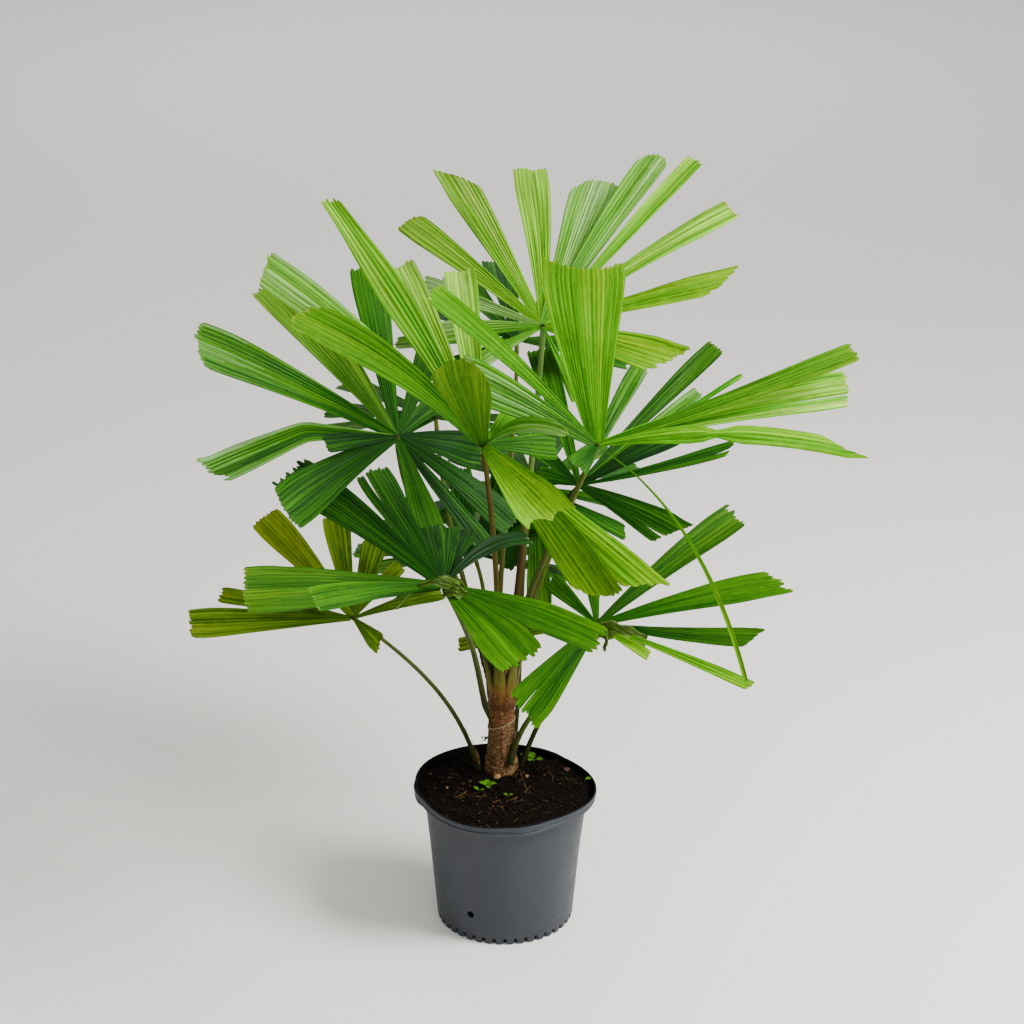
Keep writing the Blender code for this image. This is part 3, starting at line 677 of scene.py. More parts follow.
class Surface:
    """Collects faces for one piece, each with a material number and places on two UV maps."""

    def __init__(self):
        self.parts = []
        self.count = 0

    def add(self, points, faces, slots, leaf_uv, bake_uv):
        """points n x 3, faces m x k, slots m, and both UVs n x 2."""
        faces = np.asarray(faces, np.int64)
        corners = faces.ravel()
        self.parts.append((
            np.asarray(points, float), corners + self.count, np.full(len(faces), faces.shape[1]),
            np.broadcast_to(np.asarray(slots, np.int64), len(faces)),
            np.asarray(bake_uv, float)[corners], np.asarray(leaf_uv, float)[corners]))
        self.count += len(points)

    def skin(self, rows, columns, at, slots=0, turned_over=False):
        """A grid that closes on itself: at(row, column) gives a point and its two UV places.

        slots is one number, or gives a face's by its row and column.
        """
        spots = [at(row, column) for row in range(rows) for column in range(columns + 1)]
        points, leaf_uv, bake_uv = zip(*spots)
        if callable(slots):
            slots = [slots(row, column) for row in range(rows - 1) for column in range(columns)]
        faces = grid_faces(rows, columns + 1)
        self.add(points, faces[:, ::-1] if turned_over else faces, slots, leaf_uv, bake_uv)
        return points

    def plate(self, upper, lower, shape, slots, leaf_uv, bake_uv, shift):
        """A closed thin plate of shape rows x columns; shift parts its sides on the baking map.

        slots are the upper faces', the lower faces' and the rim's.
        """
        rows, columns = shape
        quads, rim = (rows - 1) * (columns - 1), 2 * (rows + columns - 2)
        leaf_uv, bake_uv = np.asarray(leaf_uv), np.asarray(bake_uv)
        self.add(np.concatenate([upper, lower]), blade_faces(rows, columns),
                 np.concatenate([np.broadcast_to(slot, count)
                                 for slot, count in zip(slots, (quads, quads, rim))]),
                 np.concatenate([leaf_uv, leaf_uv]), np.concatenate([bake_uv, bake_uv + shift]))

    def build(self, name, materials, slot, replaces=None, sharp=35):
        """The finished piece, which rides on the plant's one body."""
        points, corners, sizes, slots, *maps = (np.concatenate(part) for part in zip(*self.parts))
        mesh = bpy.data.meshes.new(name)
        mesh.vertices.add(len(points))
        mesh.vertices.foreach_set("co", points.astype(np.float32).ravel())
        mesh.loops.add(len(corners))
        mesh.loops.foreach_set("vertex_index", corners.astype(np.int32))
        mesh.polygons.add(len(sizes))
        starts = np.concatenate([[0], np.cumsum(sizes)[:-1]])
        mesh.polygons.foreach_set("loop_start", starts.astype(np.int32))
        mesh.polygons.foreach_set("material_index", slots.astype(np.int32))
        for map_name, places in zip(("OFBake", "leaf"), maps):
            layer = mesh.uv_layers.new(name=map_name)
            layer.data.foreach_set("uv", places.astype(np.float32).ravel())
        for material in materials:
            mesh.materials.append(material)
        mesh.update(calc_edges=True)
        mesh.validate()
        mesh.shade_smooth()
        mesh.set_sharp_from_angle(angle=math.radians(sharp))
        made = put(name, mesh)
        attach(made, "root")
        if replaces:
            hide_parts(replaces)
        return made


def grid_faces(rows, columns, closed=False):
    """Quads of a grid of rows x columns points, wrapped round when closed."""
    row, column = np.meshgrid(np.arange(rows - 1), np.arange(columns - (not closed)), indexing="ij")
    near = row * columns + column
    beside = row * columns + (column + 1) % columns
    return np.stack([near, beside, beside + columns, near + columns], axis=-1).reshape(-1, 4)


def blade_faces(rows, columns):
    """A closed blade: upper grid, lower grid, and the quads along its four edges."""
    upper = grid_faces(rows, columns)
    below = rows * columns
    rim = []
    for row in range(rows - 1):
        near, far = row * columns, (row + 1) * columns
        rim.append((far, far + below, near + below, near))
        near, far = near + columns - 1, far + columns - 1
        rim.append((near, near + below, far + below, far))
    for column in range(columns - 1):
        rim.append((column + below, column + 1 + below, column + 1, column))
        end = (rows - 1) * columns + column
        rim.append((end, end + 1, end + 1 + below, end + below))
    return np.concatenate([upper, upper[:, ::-1] + below, rim])


def smooth(low, high, values):
    """0 below low, 1 above high, eased between."""
    t = np.clip((values - low) / (high - low), 0, 1)
    return t * t * (3 - 2 * t)


def eased(low, high, value):
    """The same for one number."""
    return float(smooth(low, high, value))


def smooth_corner(values):
    """Rises evenly to 1 and stays there, with the corner between eased."""
    return -np.log(np.exp(-SOFTNESS * values) + math.exp(-SOFTNESS)) / SOFTNESS


def level(angle):
    """The level direction at this angle from the right, anticlockwise from above."""
    return Vector((math.cos(angle), math.sin(angle), 0))


def in_view(clock, lean):
    """The direction at this clock angle in the view, leaning towards the viewer, in radians."""
    flat = math.sin(clock) * VIEW_RIGHT + math.cos(clock) * VIEW_UP
    return math.cos(lean) * flat + math.sin(lean) * VIEW_BACK


def bake_strip(number, count):
    """The strip of a piece's baking map for one of its parts: its left end and its width."""
    return number / count, 0.9 / count


def front_leaves(fan):
    """Each leaflet's direction, the way across it, and what leaflet() says of it."""
    away, slope = fan["falls_back"]
    away = math.radians(away)
    normal = in_view(away + math.pi / 2, 0).cross(in_view(away, -math.atan(slope)))
    normal = (normal + VIEW_BACK).normalized()
    for leaf in fan["leaflets"]:
        clock = math.radians(leaf["clock"])
        lean = math.radians(leaf["lift"]) - math.atan(slope * math.cos(clock - away))
        along = in_view(clock, lean)
        across = along.cross(normal).normalized()
        yield along, across, {**leaf, "look": leaf["look"] or fan["look"]}


def back_leaves(fan, chance):
    """The same for a fan at the back: evenly spread, shorter to the sides, a little uneven."""
    bearing, rise = math.radians(fan["bearing"]), math.radians(fan["rise"])
    middle = Vector((math.cos(bearing) * math.cos(rise), math.sin(bearing) * math.cos(rise),
                     math.sin(rise)))
    side = middle.cross(UP).normalized()
    normal = side.cross(middle)
    for k in range(BACK_LEAFLETS):
        turn = math.radians(BACK_SPREAD * (k / (BACK_LEAFLETS - 1) - 0.5))
        turn += math.radians(chance.uniform(-BACK_UNEVEN, BACK_UNEVEN))
        dip = BACK_DIP * (1 - math.cos(turn)) * chance.uniform(*BACK_DIPS)
        along = (math.cos(turn) * middle + math.sin(turn) * side - dip * normal).normalized()
        shortening = (1 - BACK_SIDE_LENGTH) * (1 - math.cos(turn)) / 2
        length = fan["reach"] * (1 - shortening) * chance.uniform(*BACK_LENGTHS)
        width = BACK_WIDTH * chance.uniform(*BACK_WIDTHS)
        slant = chance.uniform(-BACK_SLANT, BACK_SLANT)
        leaf = leaflet(0, 1000 * length, 1000 * width, slant=slant,
                       look=BACK_LOOKS[k % len(BACK_LOOKS)])
        yield along, along.cross(normal).normalized(), leaf
    for leaf in fan.get("forward", ()):
        along = in_view(math.radians(leaf["clock"]), math.radians(leaf["lift"]))
        yield along, along.cross(VIEW_BACK).normalized(), leaf


def fold_places(width, chance):
    """Where a leaflet folds, 0 to 1 across it: valley, ridge, valley and so on."""
    halves = 2 * max(1, round(width / PLEAT_WIDTH))
    shares = np.array([chance.uniform(*FOLD_SHARES) for _ in range(halves)])
    return np.concatenate([[0], np.cumsum(shares) / shares.sum()])


def fold_columns(folds, relief, chance):
    """The columns of points across a leaflet, how high each stands and its strip's tone, with painted
    shade along valleys and painted highlight along ridges.
    """
    heights = [chance.uniform(*FOLD_HEIGHTS) * (1 if k % 2 else -1) for k in range(len(folds))]
    bands = [chance.gauss(0, BAND_TONE) for _ in range(len(folds) // BAND_PLEATS + 1)]
    places, stands, tones = [], [], []
    for half in range(len(folds) - 1):
        if half % 2 == 0:
            pleat_tone = chance.gauss(0, PLEAT_TONE) * (0.4 + 0.6 * relief)
        for number, step in enumerate(STRIP_STEPS):
            places.append(folds[half] + (folds[half + 1] - folds[half]) * step)
            stands.append(heights[half] + (heights[half + 1] - heights[half]) * step)
            climb = number if half % 2 == 0 else len(STRIP_STEPS) - 1 - number
            # Painted shade on the valley strips, painted highlight on the ridge strips.
            line = {0: VALLEY_TONE, len(STRIP_STEPS) - 1: RIDGE_TONE}.get(climb, 0)
            tone = 2 + bands[half // BAND_PLEATS] + pleat_tone + line * relief
            tones.append(tone + chance.gauss(0, STRIP_TONE) * (0.4 + 0.6 * relief))
    return np.array(places + [1.0]), np.array(stands + [heights[-1]]), np.array(tones)


def column_reaches(places, folds, leaf, chance):
    """How far each column reaches: cut obliquely or domed, stepped by pleat, and toothed."""
    off = places - 0.5
    length, width = leaf["length"], leaf["width"]
    reaches = length + leaf["slant"] * off * width
    reaches -= leaf["domed"] * length * np.abs(2 * (off - leaf["peak"])) ** 2.4
    reaches -= 0.003 * np.abs(2 * off) ** 10
    valleys = folds[::2]
    pleat = np.clip(np.searchsorted(valleys, places, side="right") - 1, 0, len(valleys) - 2)
    across = (places - valleys[pleat]) / (valleys[pleat + 1] - valleys[pleat])
    reaches -= BAY * length * np.abs(np.sin(math.pi * leaf["bays"] * places))
    uneven = UNEVEN_ENDS * leaf["steps"]
    steps = np.array([chance.uniform(-uneven, uneven) for _ in valleys])
    peaks = np.array([chance.uniform(*TOOTH_PEAKS) for _ in valleys])[pleat]
    teeth = np.minimum(across / peaks, (1 - across) / (1 - peaks))
    sizes = np.array([chance.uniform(*TOOTH_SIZES) for _ in valleys])[pleat]
    reaches += steps[pleat] + TOOTH * sizes * (0.6 + 0.4 * leaf["steps"]) * (teeth - 0.6)
    return reaches + np.array([chance.uniform(-FRAYED_ENDS, FRAYED_ENDS) for _ in places])


def torn_parts(places, shares, folds, torn, chance):
    """The parts a leaflet is torn into at its end, each with its columns, pull and lean."""
    valleys = folds[::2]
    cuts = [k for k in range(1, len(valleys) - 1) if chance.random() < torn]
    bounds = [0] + cuts + [len(valleys) - 1]
    opened = {k: smooth(1 - chance.uniform(*SPLIT_LENGTHS), 1.02, shares) for k in cuts}
    still = np.zeros(len(shares))
    for first, last in zip(bounds[:-1], bounds[1:]):
        low, high = valleys[first], valleys[last]
        inside = np.where((places >= low - 1e-6) & (places <= high + 1e-6))[0]
        left, right = opened.get(first, still)[:, None], opened.get(last, still)[:, None]
        across = (places[inside] - low) / (high - low)
        pull = chance.uniform(*SPLIT_GAPS) * (left * (1 - across) - right * across)
        lean = chance.uniform(-SPLIT_LEAN, SPLIT_LEAN) * (left * (1 - across) + right * across)
        yield inside, pull, lean


def arched(shares, kink):
    """How the middle of a leaflet stands up along it: a bow, or two runs that meet at a kink."""
    if kink is None:
        return 4 * shares * (1 - shares)
    rising, falling = shares / kink, (1 - shares) / (1 - kink)
    return -np.log(np.exp(-KINK_SHARPNESS * rising)
                   + np.exp(-KINK_SHARPNESS * falling)) / KINK_SHARPNESS


def leaflet_patches(surface, hub, placed, strip, first_slot, chance, number):
    """One leaflet as closed, pleated blades, parted where its valleys have torn.

    strip is its place on the baking map: left end, width and height of the upper side's strip.
    first_slot is the number of its look's first material in the piece.
    """
    along, across, leaf = placed
    length, width = leaf["length"], leaf["width"]
    folds = fold_places(width, chance)
    relief = RELIEF.get(leaf["look"], 1)
    places, stands, tones = fold_columns(folds, relief, chance)
    reaches = column_reaches(places, folds, leaf, chance)
    shares = np.concatenate([np.linspace(0, TIP_FROM, BODY_ROWS),
                             np.linspace(TIP_FROM, 1, TIP_ROWS)[1:]])
    face = across.cross(along)
    lift = UP - UP.dot(along) * along
    lift = lift.normalized() if lift.length > 0.3 else face
    along, across, face, lift = (np.array(v) for v in (along, across, face, lift))

    run = LEAF_START + shares[:, None] * (reaches[None, :] - LEAF_START)
    at = np.clip((run - LEAF_START) / (length - LEAF_START), 0, 1)
    spread = ROOT_WIDTH + (1 - ROOT_WIDTH) * smooth_corner(at / leaf["full"])
    spread *= 1 - leaf["taper"] * smooth(leaf["full"], 1, at)
    spread *= 1 - leaf["waist"] * np.exp(-((at - WAIST_AT) / WAIST_LENGTH) ** 2)
    half_width = width * spread / (len(folds) - 1)
    rise = np.minimum(PLEAT_RISE * (1 - 0.5 * at), STEEPEST_PLEAT * half_width)
    rise = rise * (0.35 + 0.65 * relief)
    off = places[None, :] - 0.5
    roll = math.radians(chance.uniform(-ROLL, ROLL)) * at ** 1.5
    bow = chance.uniform(-BOW, BOW) * length * 4 * at * (1 - at)
    cup = chance.uniform(*CUP) * width * at
    wave = chance.uniform(*WAVE_RISES) * at * np.sin(
        at * chance.uniform(*WAVE_TURNS) + 5 * places[None, :] + number)
    sideways = off * width * spread + bow
    proud = stands[None, :] * rise + cup * (2 * off) ** 2 + wave
    arch_rise = leaf["arch"] * length * arched(at, leaf["kink"])

    left, wide, tall = strip
    for inside, pull, lean in torn_parts(places, shares, folds, leaf["torn"], chance):
        side = sideways[:, inside] + pull
        stand = proud[:, inside] + lean
        turn = roll[:, inside]
        turned_side = side * np.cos(turn) - stand * np.sin(turn)
        turned_stand = side * np.sin(turn) + stand * np.cos(turn)
        middle = (np.array(hub) + run[:, inside, None] * along
                  + turned_side[:, :, None] * across
                  + arch_rise[:, inside, None] * lift)
        upper, lower = ((middle + (turned_stand + half)[:, :, None] * face).reshape(-1, 3)
                        for half in (BLADE_THICKNESS / 2, -BLADE_THICKNESS / 2))
        rows, columns = len(shares), len(inside)
        u = np.broadcast_to(places[inside], (rows, columns)).ravel()
        v = run[:, inside].ravel()
        leaf_uv = np.stack([u * width * MAP_SCALE + MAP_SHIFT[0] * number,
                            v * MAP_SCALE + MAP_SHIFT[1] * number], -1)
        bake_uv = np.stack([left + u * wide, 0.01 + v / length * tall], -1)
        # Painted shade: each strip is darker towards the hub and lighter towards the end, shifted by
        # the leaflet's tone.
        drift = TONE_ALONG[0] + (TONE_ALONG[1] - TONE_ALONG[0]) * shares[:-1, None]
        kinds = tones[inside[:-1]][None, :] + drift + leaf["tone"]
        kinds = np.clip(np.round(kinds), 0, END - 1).astype(int).ravel()
        under = np.minimum(kinds + 1, END - 1)
        dry = [chance.random() < DRY_ENDS for _ in range(columns - 1)]
        kinds[(rows - 2) * (columns - 1):][dry] = END
        slots = (kinds + first_slot, under + first_slot, 2 + first_slot)
        surface.plate(upper, lower, (rows, columns), slots, leaf_uv, bake_uv, (wide * 1.04, 0))


def make_frond(name, hub, leaves, looks, slot, chance):
    """One piece for a whole fan: each leaflet's blades, in its own look."""
    leaves = list(leaves)
    used = sorted({leaf["look"] for _, _, leaf in leaves})
    total = sum(BOTH_SIDES * leaf["width"] for _, _, leaf in leaves)
    longest = max(leaf["length"] for _, _, leaf in leaves)
    surface = Surface()
    left = 0.0
    for number, placed in enumerate(leaves):
        leaf = placed[2]
        wide = leaf["width"] / total
        strip = (left, wide, 0.95 * leaf["length"] / longest)
        first_slot = used.index(leaf["look"]) * len(TONES)
        leaflet_patches(surface, hub, placed, strip, first_slot, chance, number)
        left += BOTH_SIDES * wide
    surface.build("frond_leaflets_" + name, [paint for look in used for paint in looks[look]],
                  slot, "frond_" + name)


def trunk_share(z):
    """How far up the trunk this height is, 0 to 1."""
    return (z - TRUNK_FOOT.z) / (TRUNK_TOP.z - TRUNK_FOOT.z)


def trunk_axis(z):
    return TRUNK_FOOT.lerp(TRUNK_TOP, trunk_share(z))


def trunk_radius(z):
    """Flared at the mix, slimmest half way, and swollen again where the stalks spring."""
    share = trunk_share(z)
    flare = (TRUNK_FLARE_RADIUS - TRUNK_FOOT_RADIUS) * math.exp(-(z - TRUNK_FOOT.z) / FLARE_HEIGHT)
    waist = TRUNK_WAIST * math.sin(math.pi * share)
    return TRUNK_FOOT_RADIUS + (TRUNK_TOP_RADIUS - TRUNK_FOOT_RADIUS) * share + flare - waist


def stalk_start(rule):
    """Where a stalk's foot is and which way it leaves."""
    out = level(math.radians(rule["bearing"]))
    heading = (rule["leans"] * out + UP).normalized()
    if rule["place"] == "crown":
        return TRUNK_TOP + CLUSTER_RADIUS * out + GAP * UP, heading
    if rule["place"] == "side":
        height = rule["height"]
        stand_off = trunk_radius(height) + STALK_FOOT_RADIUS * heading.z + GAP
        return trunk_axis(height) + stand_off * out, heading
    stand_off = TRUNK_FLARE_RADIUS + STALK_FOOT_RADIUS + MIX_STALK_CLEARANCE
    return TRUNK_FOOT + stand_off * out, heading


def curve_point(a, b, c, d, t):
    """A point of the cubic through a and d that leaves towards b and arrives from c."""
    s = 1 - t
    return s * s * s * a + 3 * s * s * t * b + 3 * s * t * t * c + t * t * t * d


def hub_of(name):
    return Vector((FRONT_FANS.get(name) or BACK_FANS[name])["hub"])


def stalk_path(name):
    """The stalk's centre line, from its foot to its fan's hub."""
    rule = STALKS[name]
    foot, leaves = stalk_start(rule)
    arrives = Vector(rule["arrives"]).normalized()
    end = hub_of(name) - (HUB_RADIUS + GAP) * arrives
    handle = STALK_HANDLE * (end - foot).length
    first = foot + rule["handle"] * handle * leaves
    path = [curve_point(foot, first, end - handle * arrives, end, row / (STALK_ROWS - 1))
            for row in range(STALK_ROWS)]
    return path + [hub_of(name)]


def nearest_height(path, z):
    return min(path, key=lambda point: abs(point.z - z))


def headings(path):
    """Each point of a path, with the way the path runs there."""
    last = len(path) - 1
    for row, point in enumerate(path):
        yield point, (path[min(row + 1, last)] - path[max(row - 1, 0)]).normalized()


def tube(surface, path, radius, columns, slot=0, number=0, section=None, strip=(0, 1)):
    """A tube round a path: radius(share) in metres and section(share, angle) as a factor."""
    rings = []
    for centre, along in headings(path):
        side = along.cross(Vector((0, 1, 0)))
        side = side.normalized() if side.length > 0.1 else along.cross(VIEW_RIGHT).normalized()
        rings.append((centre, side, along.cross(side)))

    def at(row, k):
        centre, side, front = rings[row]
        share, a = row / (len(rings) - 1), 2 * math.pi * k / columns
        r = radius(share) * (section(share, a) if section else 1)
        return (centre + r * (math.cos(a) * side + math.sin(a) * front),
                (k / columns + 3 * number, share),
                (strip[0] + strip[1] * k / columns, 0.01 + 0.98 * share))

    surface.skin(len(rings), columns, at, slot, turned_over=True)


def hugging(path):
    """The path with its foot drawn in against the trunk."""
    found = []
    for row, point in enumerate(path):
        axis = trunk_axis(min(point.z, TRUNK_TOP.z))
        away = Vector((point.x - axis.x, point.y - axis.y, 0))
        drawn = HUG_DEPTH * (1 - eased(0, HUG_SHARE, row / (len(path) - 1)))
        found.append(point - drawn * away.normalized() - 0.8 * drawn * UP)
    return found


def make_stalk(name, material):
    """A leaf stalk with a shallow channel, a broad foot and a waist below its fan."""
    phase = random.Random(name).uniform(0, 6.28)
    place, girth = STALKS[name]["place"], STALKS[name]["girth"]

    def radius(share):
        base = STALK_FOOT_RADIUS + (STALK_TIP_RADIUS - STALK_FOOT_RADIUS) * share
        foot = (0.0022 if place == "mix" else 0.0012) * math.exp(-(share / 0.08) ** 2)
        neck = 0.0007 * math.exp(-((share - 0.97) / 0.02) ** 2)
        wedge = 0.15 + 0.85 * eased(0, 0.11, share) if place == "side" else 1
        return (base * girth + foot + neck) * wedge

    def section(share, angle):
        channel = -0.14 * math.exp(-((math.remainder(angle - phase, 2 * math.pi)) / 0.5) ** 2)
        return 1 + channel + 0.025 * math.sin(5 * angle + 9 * share)

    path = stalk_path(name)
    surface = Surface()
    tube(surface, hugging(path) if place == "side" else path, radius, STALK_COLUMNS,
         number=list(STALKS).index(name), section=section)
    surface.build("leaf_stalk_" + name, [material], "stalk", "stalk_" + name)


def make_hubs(material):
    """The small knot where each fan's leaflets meet."""
    surface = Surface()
    for number, name in enumerate(STALKS):
        points, uv = [], []
        for ring in range(KNOT_RINGS):
            polar = math.pi * ring / (KNOT_RINGS - 1)
            for k in range(KNOT_COLUMNS):
                a = 2 * math.pi * k / KNOT_COLUMNS
                ribbed = 1 + 0.10 * math.cos(6 * a) * math.sin(polar)
                r = KNOT_RADIUS * ribbed * math.sin(polar)
                place = Vector((r * math.cos(a), r * math.sin(a), KNOT_RADIUS * math.cos(polar)))
                points.append(hub_of(name) + place)
                uv.append((k / KNOT_COLUMNS + 3 * number, ring / KNOT_RINGS))
        bake = [((number + 0.9 * (u - 3 * number)) / len(STALKS), v) for u, v in uv]
        faces = grid_faces(KNOT_RINGS, KNOT_COLUMNS, closed=True)
        surface.add(points, faces[:, ::-1], 0, uv, bake)
    surface.build("fan_hubs", [material], "stalk")


def fibre_radius(z, angle):
    """The trunk's surface: slimmer than its solid towards the top, wrapped in matted fibre."""
    slimmer = 0.0036 * eased(0.3, 1.0, trunk_share(z))
    wrapped = 0.0
    for number, ledge in enumerate(LEDGES):
        below = ledge + 0.009 * math.sin(angle + 2.1 * number) - z
        if 0 < below < 0.03:
            wrapped += 0.0016 * math.exp(-below / 0.010)
    matted = noise.fractal(9 * level(angle) + Vector((0, 0, 95 * z)), 0.8, 2.1, 4)
    folds = noise.noise(Vector((6 * angle + 30 * z, 38 * z - 3 * math.cos(angle), 3)))
    return trunk_radius(z) - 0.0016 - slimmer + wrapped + 0.0012 * matted + 0.0013 * folds


def on_trunk(z, angle, off=0.0):
    """A point this far off the trunk's surface."""
    return trunk_axis(z) + (fibre_radius(z, angle) + off) * level(angle)


def make_trunk(fibre, reddish):
    """The trunk's relief: matted fibre with the edges of old sheaths, redder near the top."""
    def place(row, k):
        rise = (TRUNK_TOP.z - TRUNK_FOOT.z) * (row / (TRUNK_ROWS - 1))
        return TRUNK_FOOT.z + rise, 2 * math.pi * (k % TRUNK_COLUMNS) / TRUNK_COLUMNS

    def at(row, k):
        z, a = place(row, k)
        return (on_trunk(z, a), (16.5 * k / TRUNK_COLUMNS, MAP_SCALE * (z - TRUNK_FOOT.z)),
                (k / TRUNK_COLUMNS, 0.01 + 0.90 * (row / (TRUNK_ROWS - 1))))

    def is_reddish(row, k):
        z, a = place(row, k)
        band = BAND_HEIGHT + BAND_CLIMB * math.cos(a)
        return z > band + 0.004 * noise.noise(Vector((5 * a, 3, 1)))

    surface = Surface()
    points = surface.skin(TRUNK_ROWS, TRUNK_COLUMNS, at, is_reddish)
    cap = (TRUNK_TOP,) + points[-(TRUNK_COLUMNS + 1):-1]
    fan = [(0, k + 1, (k + 1) % TRUNK_COLUMNS + 1) for k in range(TRUNK_COLUMNS)]
    surface.add(cap, fan, 0, [(p.x * MAP_SCALE, p.y * MAP_SCALE) for p in cap],
                [(0.5 + p.x, 0.95 + 0.5 * (p.y - TRUNK_TOP.y)) for p in cap])
    surface.build("trunk_fibre", [fibre, reddish], "trunk", "trunk", sharp=70)


def make_strands(pale, brown):
    """The pale strand round the trunk, and loose fibres that wander over it."""
    chance = random.Random(SEED + 5)
    surface = Surface()
    band = [on_trunk(BAND_HEIGHT + BAND_CLIMB * math.cos(a), a, 0.0008)
            for a in np.linspace(math.radians(-160), math.radians(10), 30)]
    tube(surface, band, lambda share: 0.0012 * (1 - 0.5 * abs(2 * share - 1) ** 3), 7,
         strip=(0, 0.04))
    for number in range(STRAND_COUNT):
        a, z = chance.uniform(0, 2 * math.pi), chance.uniform(*STRAND_HEIGHTS)
        turn, climb = chance.uniform(*STRAND_TURNS), chance.uniform(*STRAND_CLIMBS)
        lift = chance.uniform(*STRAND_LIFTS)
        path = [on_trunk(min(STRAND_TOP, max(STRAND_FOOT, z + climb * step)), a + turn * step,
                         lift * math.sin(math.pi * step / 8) + 0.0001) for step in range(9)]
        thick = chance.uniform(*STRAND_RADII)
        tube(surface, path, lambda share: thick, 4, number % 9 > 0, number + 1,
             strip=(0.05 + 0.9 * (number % 30) / 30, 0.02))
    surface.build("trunk_strands", [pale, brown], "trunk")


def ribbon(surface, path, side, half_width, wrap, slot_at, number, strip, columns=11,
           thickness=0.0008, ragged=0.0, ribs=0, grain=(25, 1)):
    """A thin curved plate along a path: half_width(share) wide, bent by wrap(share) radians.

    slot_at(place) gives the material of a face, place running from -1 to 1 across.
    """
    rows = len(path)
    upper, lower, uv, bake = [], [], [], []
    for row, (centre, ahead) in enumerate(headings(path)):
        share = row / (rows - 1)
        face = side.cross(ahead).normalized()
        half, bend = half_width(share), max(0.02, wrap(share))
        for column in range(columns):
            place = 2 * column / (columns - 1) - 1
            turn = bend * place
            uneven = ragged * noise.noise(Vector((3 * place, number * 3, 9 * share)))
            uneven += RIB_RISE * math.cos(math.pi * ribs * place) if ribs else 0
            spot = (centre + half / bend * math.sin(turn) * side
                    + (uneven - half / bend * (1 - math.cos(turn))) * face)
            upper.append(spot + thickness / 2 * face)
            lower.append(spot - thickness / 2 * face)
            uv.append((half * place * grain[0] + 3 * number, share * grain[1]))
            bake.append((strip[0] + strip[1] * (place + 1) / 2, 0.01 + 0.48 * share))
    middles = [2 * column / (columns - 1) - 1 + 1 / (columns - 1) for column in range(columns - 1)]
    kinds = [slot_at(place) for place in middles] * (rows - 1)
    surface.plate(upper, lower, (rows, columns), (kinds, kinds, kinds[0]), uv, bake, (0, 0.5))


def clasp(surface, name, number, strip):
    """The broad base of a stalk, pressed to the trunk below and to the stalk above its foot."""
    path = stalk_path(name)
    foot, _ = stalk_start(STALKS[name])
    axis = trunk_axis(min(foot.z, TRUNK_TOP.z))
    bearing = math.atan2(foot.y - axis.y, foot.x - axis.x)
    out = level(bearing)
    spine = []
    for row in range(CLASP_ROWS):
        z = foot.z - CLASP_BELOW + (CLASP_BELOW + CLASP_ABOVE) * row / (CLASP_ROWS - 1)
        beside_stalk = nearest_height(path, z) + CLASP_OFF * out
        beside_trunk = on_trunk(min(z, TRUNK_TOP.z - 0.002), bearing, 0.0018)
        spot = beside_trunk.lerp(beside_stalk, eased(foot.z - 0.016, foot.z + 0.008, z))
        spine.append(Vector((spot.x, spot.y, z)))
    ribbon(surface, spine, UP.cross(out), lambda share: 0.0062 + 0.0088 * (1 - share ** 1.6),
           lambda share: 0.60 + 0.45 * share, lambda place: abs(place) > CLASP_EDGE, number,
           strip, ragged=0.0006)


def scrap(surface, low, high, side, half, number, strip):
    """A dry, curling scrap of an old sheath between two places."""
    bulge = side.cross(high - low).normalized()
    path = [low.lerp(high, step / 11) + 0.004 * math.sin(math.pi * step / 11) * bulge
            for step in range(12)]
    ribbon(surface, path, side,
           lambda share: half * (1 - 0.35 * share) * (1 + 0.2 * math.sin(11 * share + number)),
           lambda share: 0.5 + 0.5 * share, lambda place: 2 if place < 0.5 else 1, number,
           strip, thickness=0.0006, ragged=0.001)


def make_sheaths(materials):
    """The clasping bases of the stalks, the core they stand round, and dry scraps."""
    surface = Surface()
    names = [name for name in STALKS if STALKS[name]["place"] == "crown"]
    count = len(names) + len(SCRAPS) + 2
    for number, name in enumerate(names):
        clasp(surface, name, number, bake_strip(number, count))
    side = VIEW_RIGHT.lerp(Vector((0.3, 0.9, 0)), 0.25).normalized()
    for number, (low, high, half) in enumerate(SCRAPS, len(names)):
        foot, top = on_mix(*low), on_mix(*low)
        top += (low[1] - high[1]) * SCRAP_RISE * UP + (high[0] - low[0]) * SCRAP_RISE * VIEW_RIGHT
        scrap(surface, foot - 0.004 * UP, top, side, half, number, bake_strip(number, count))
    corners = [in_picture(*place) for place in BROAD_FOOT]
    corners.append(nearest_height(stalk_path("low_right"), FOOT_MEETS))
    foot = [curve_point(*corners, step / 24) for step in range(25)]
    tube(surface, foot, lambda share: 0.0066 - 0.0030 * share ** 0.6, 16, 3, count - 2,
         strip=bake_strip(count - 2, count))
    core = [TRUNK_TOP + (0.012 * step - 0.004) * UP for step in range(9)]
    tube(surface, core, lambda share: 0.0125 * (1 - 0.7 * share ** 2), 20, 2, count,
         strip=bake_strip(count - 1, count))
    surface.build("leaf_sheaths", materials, "trunk", sharp=60)


def in_picture(u, v, depth):
    """The place that a pixel of the photograph shows, at this distance along Y."""
    way = sight_line(u, v)
    return CAMERA_PLACE + way * ((depth - CAMERA_PLACE.y) / way.y)


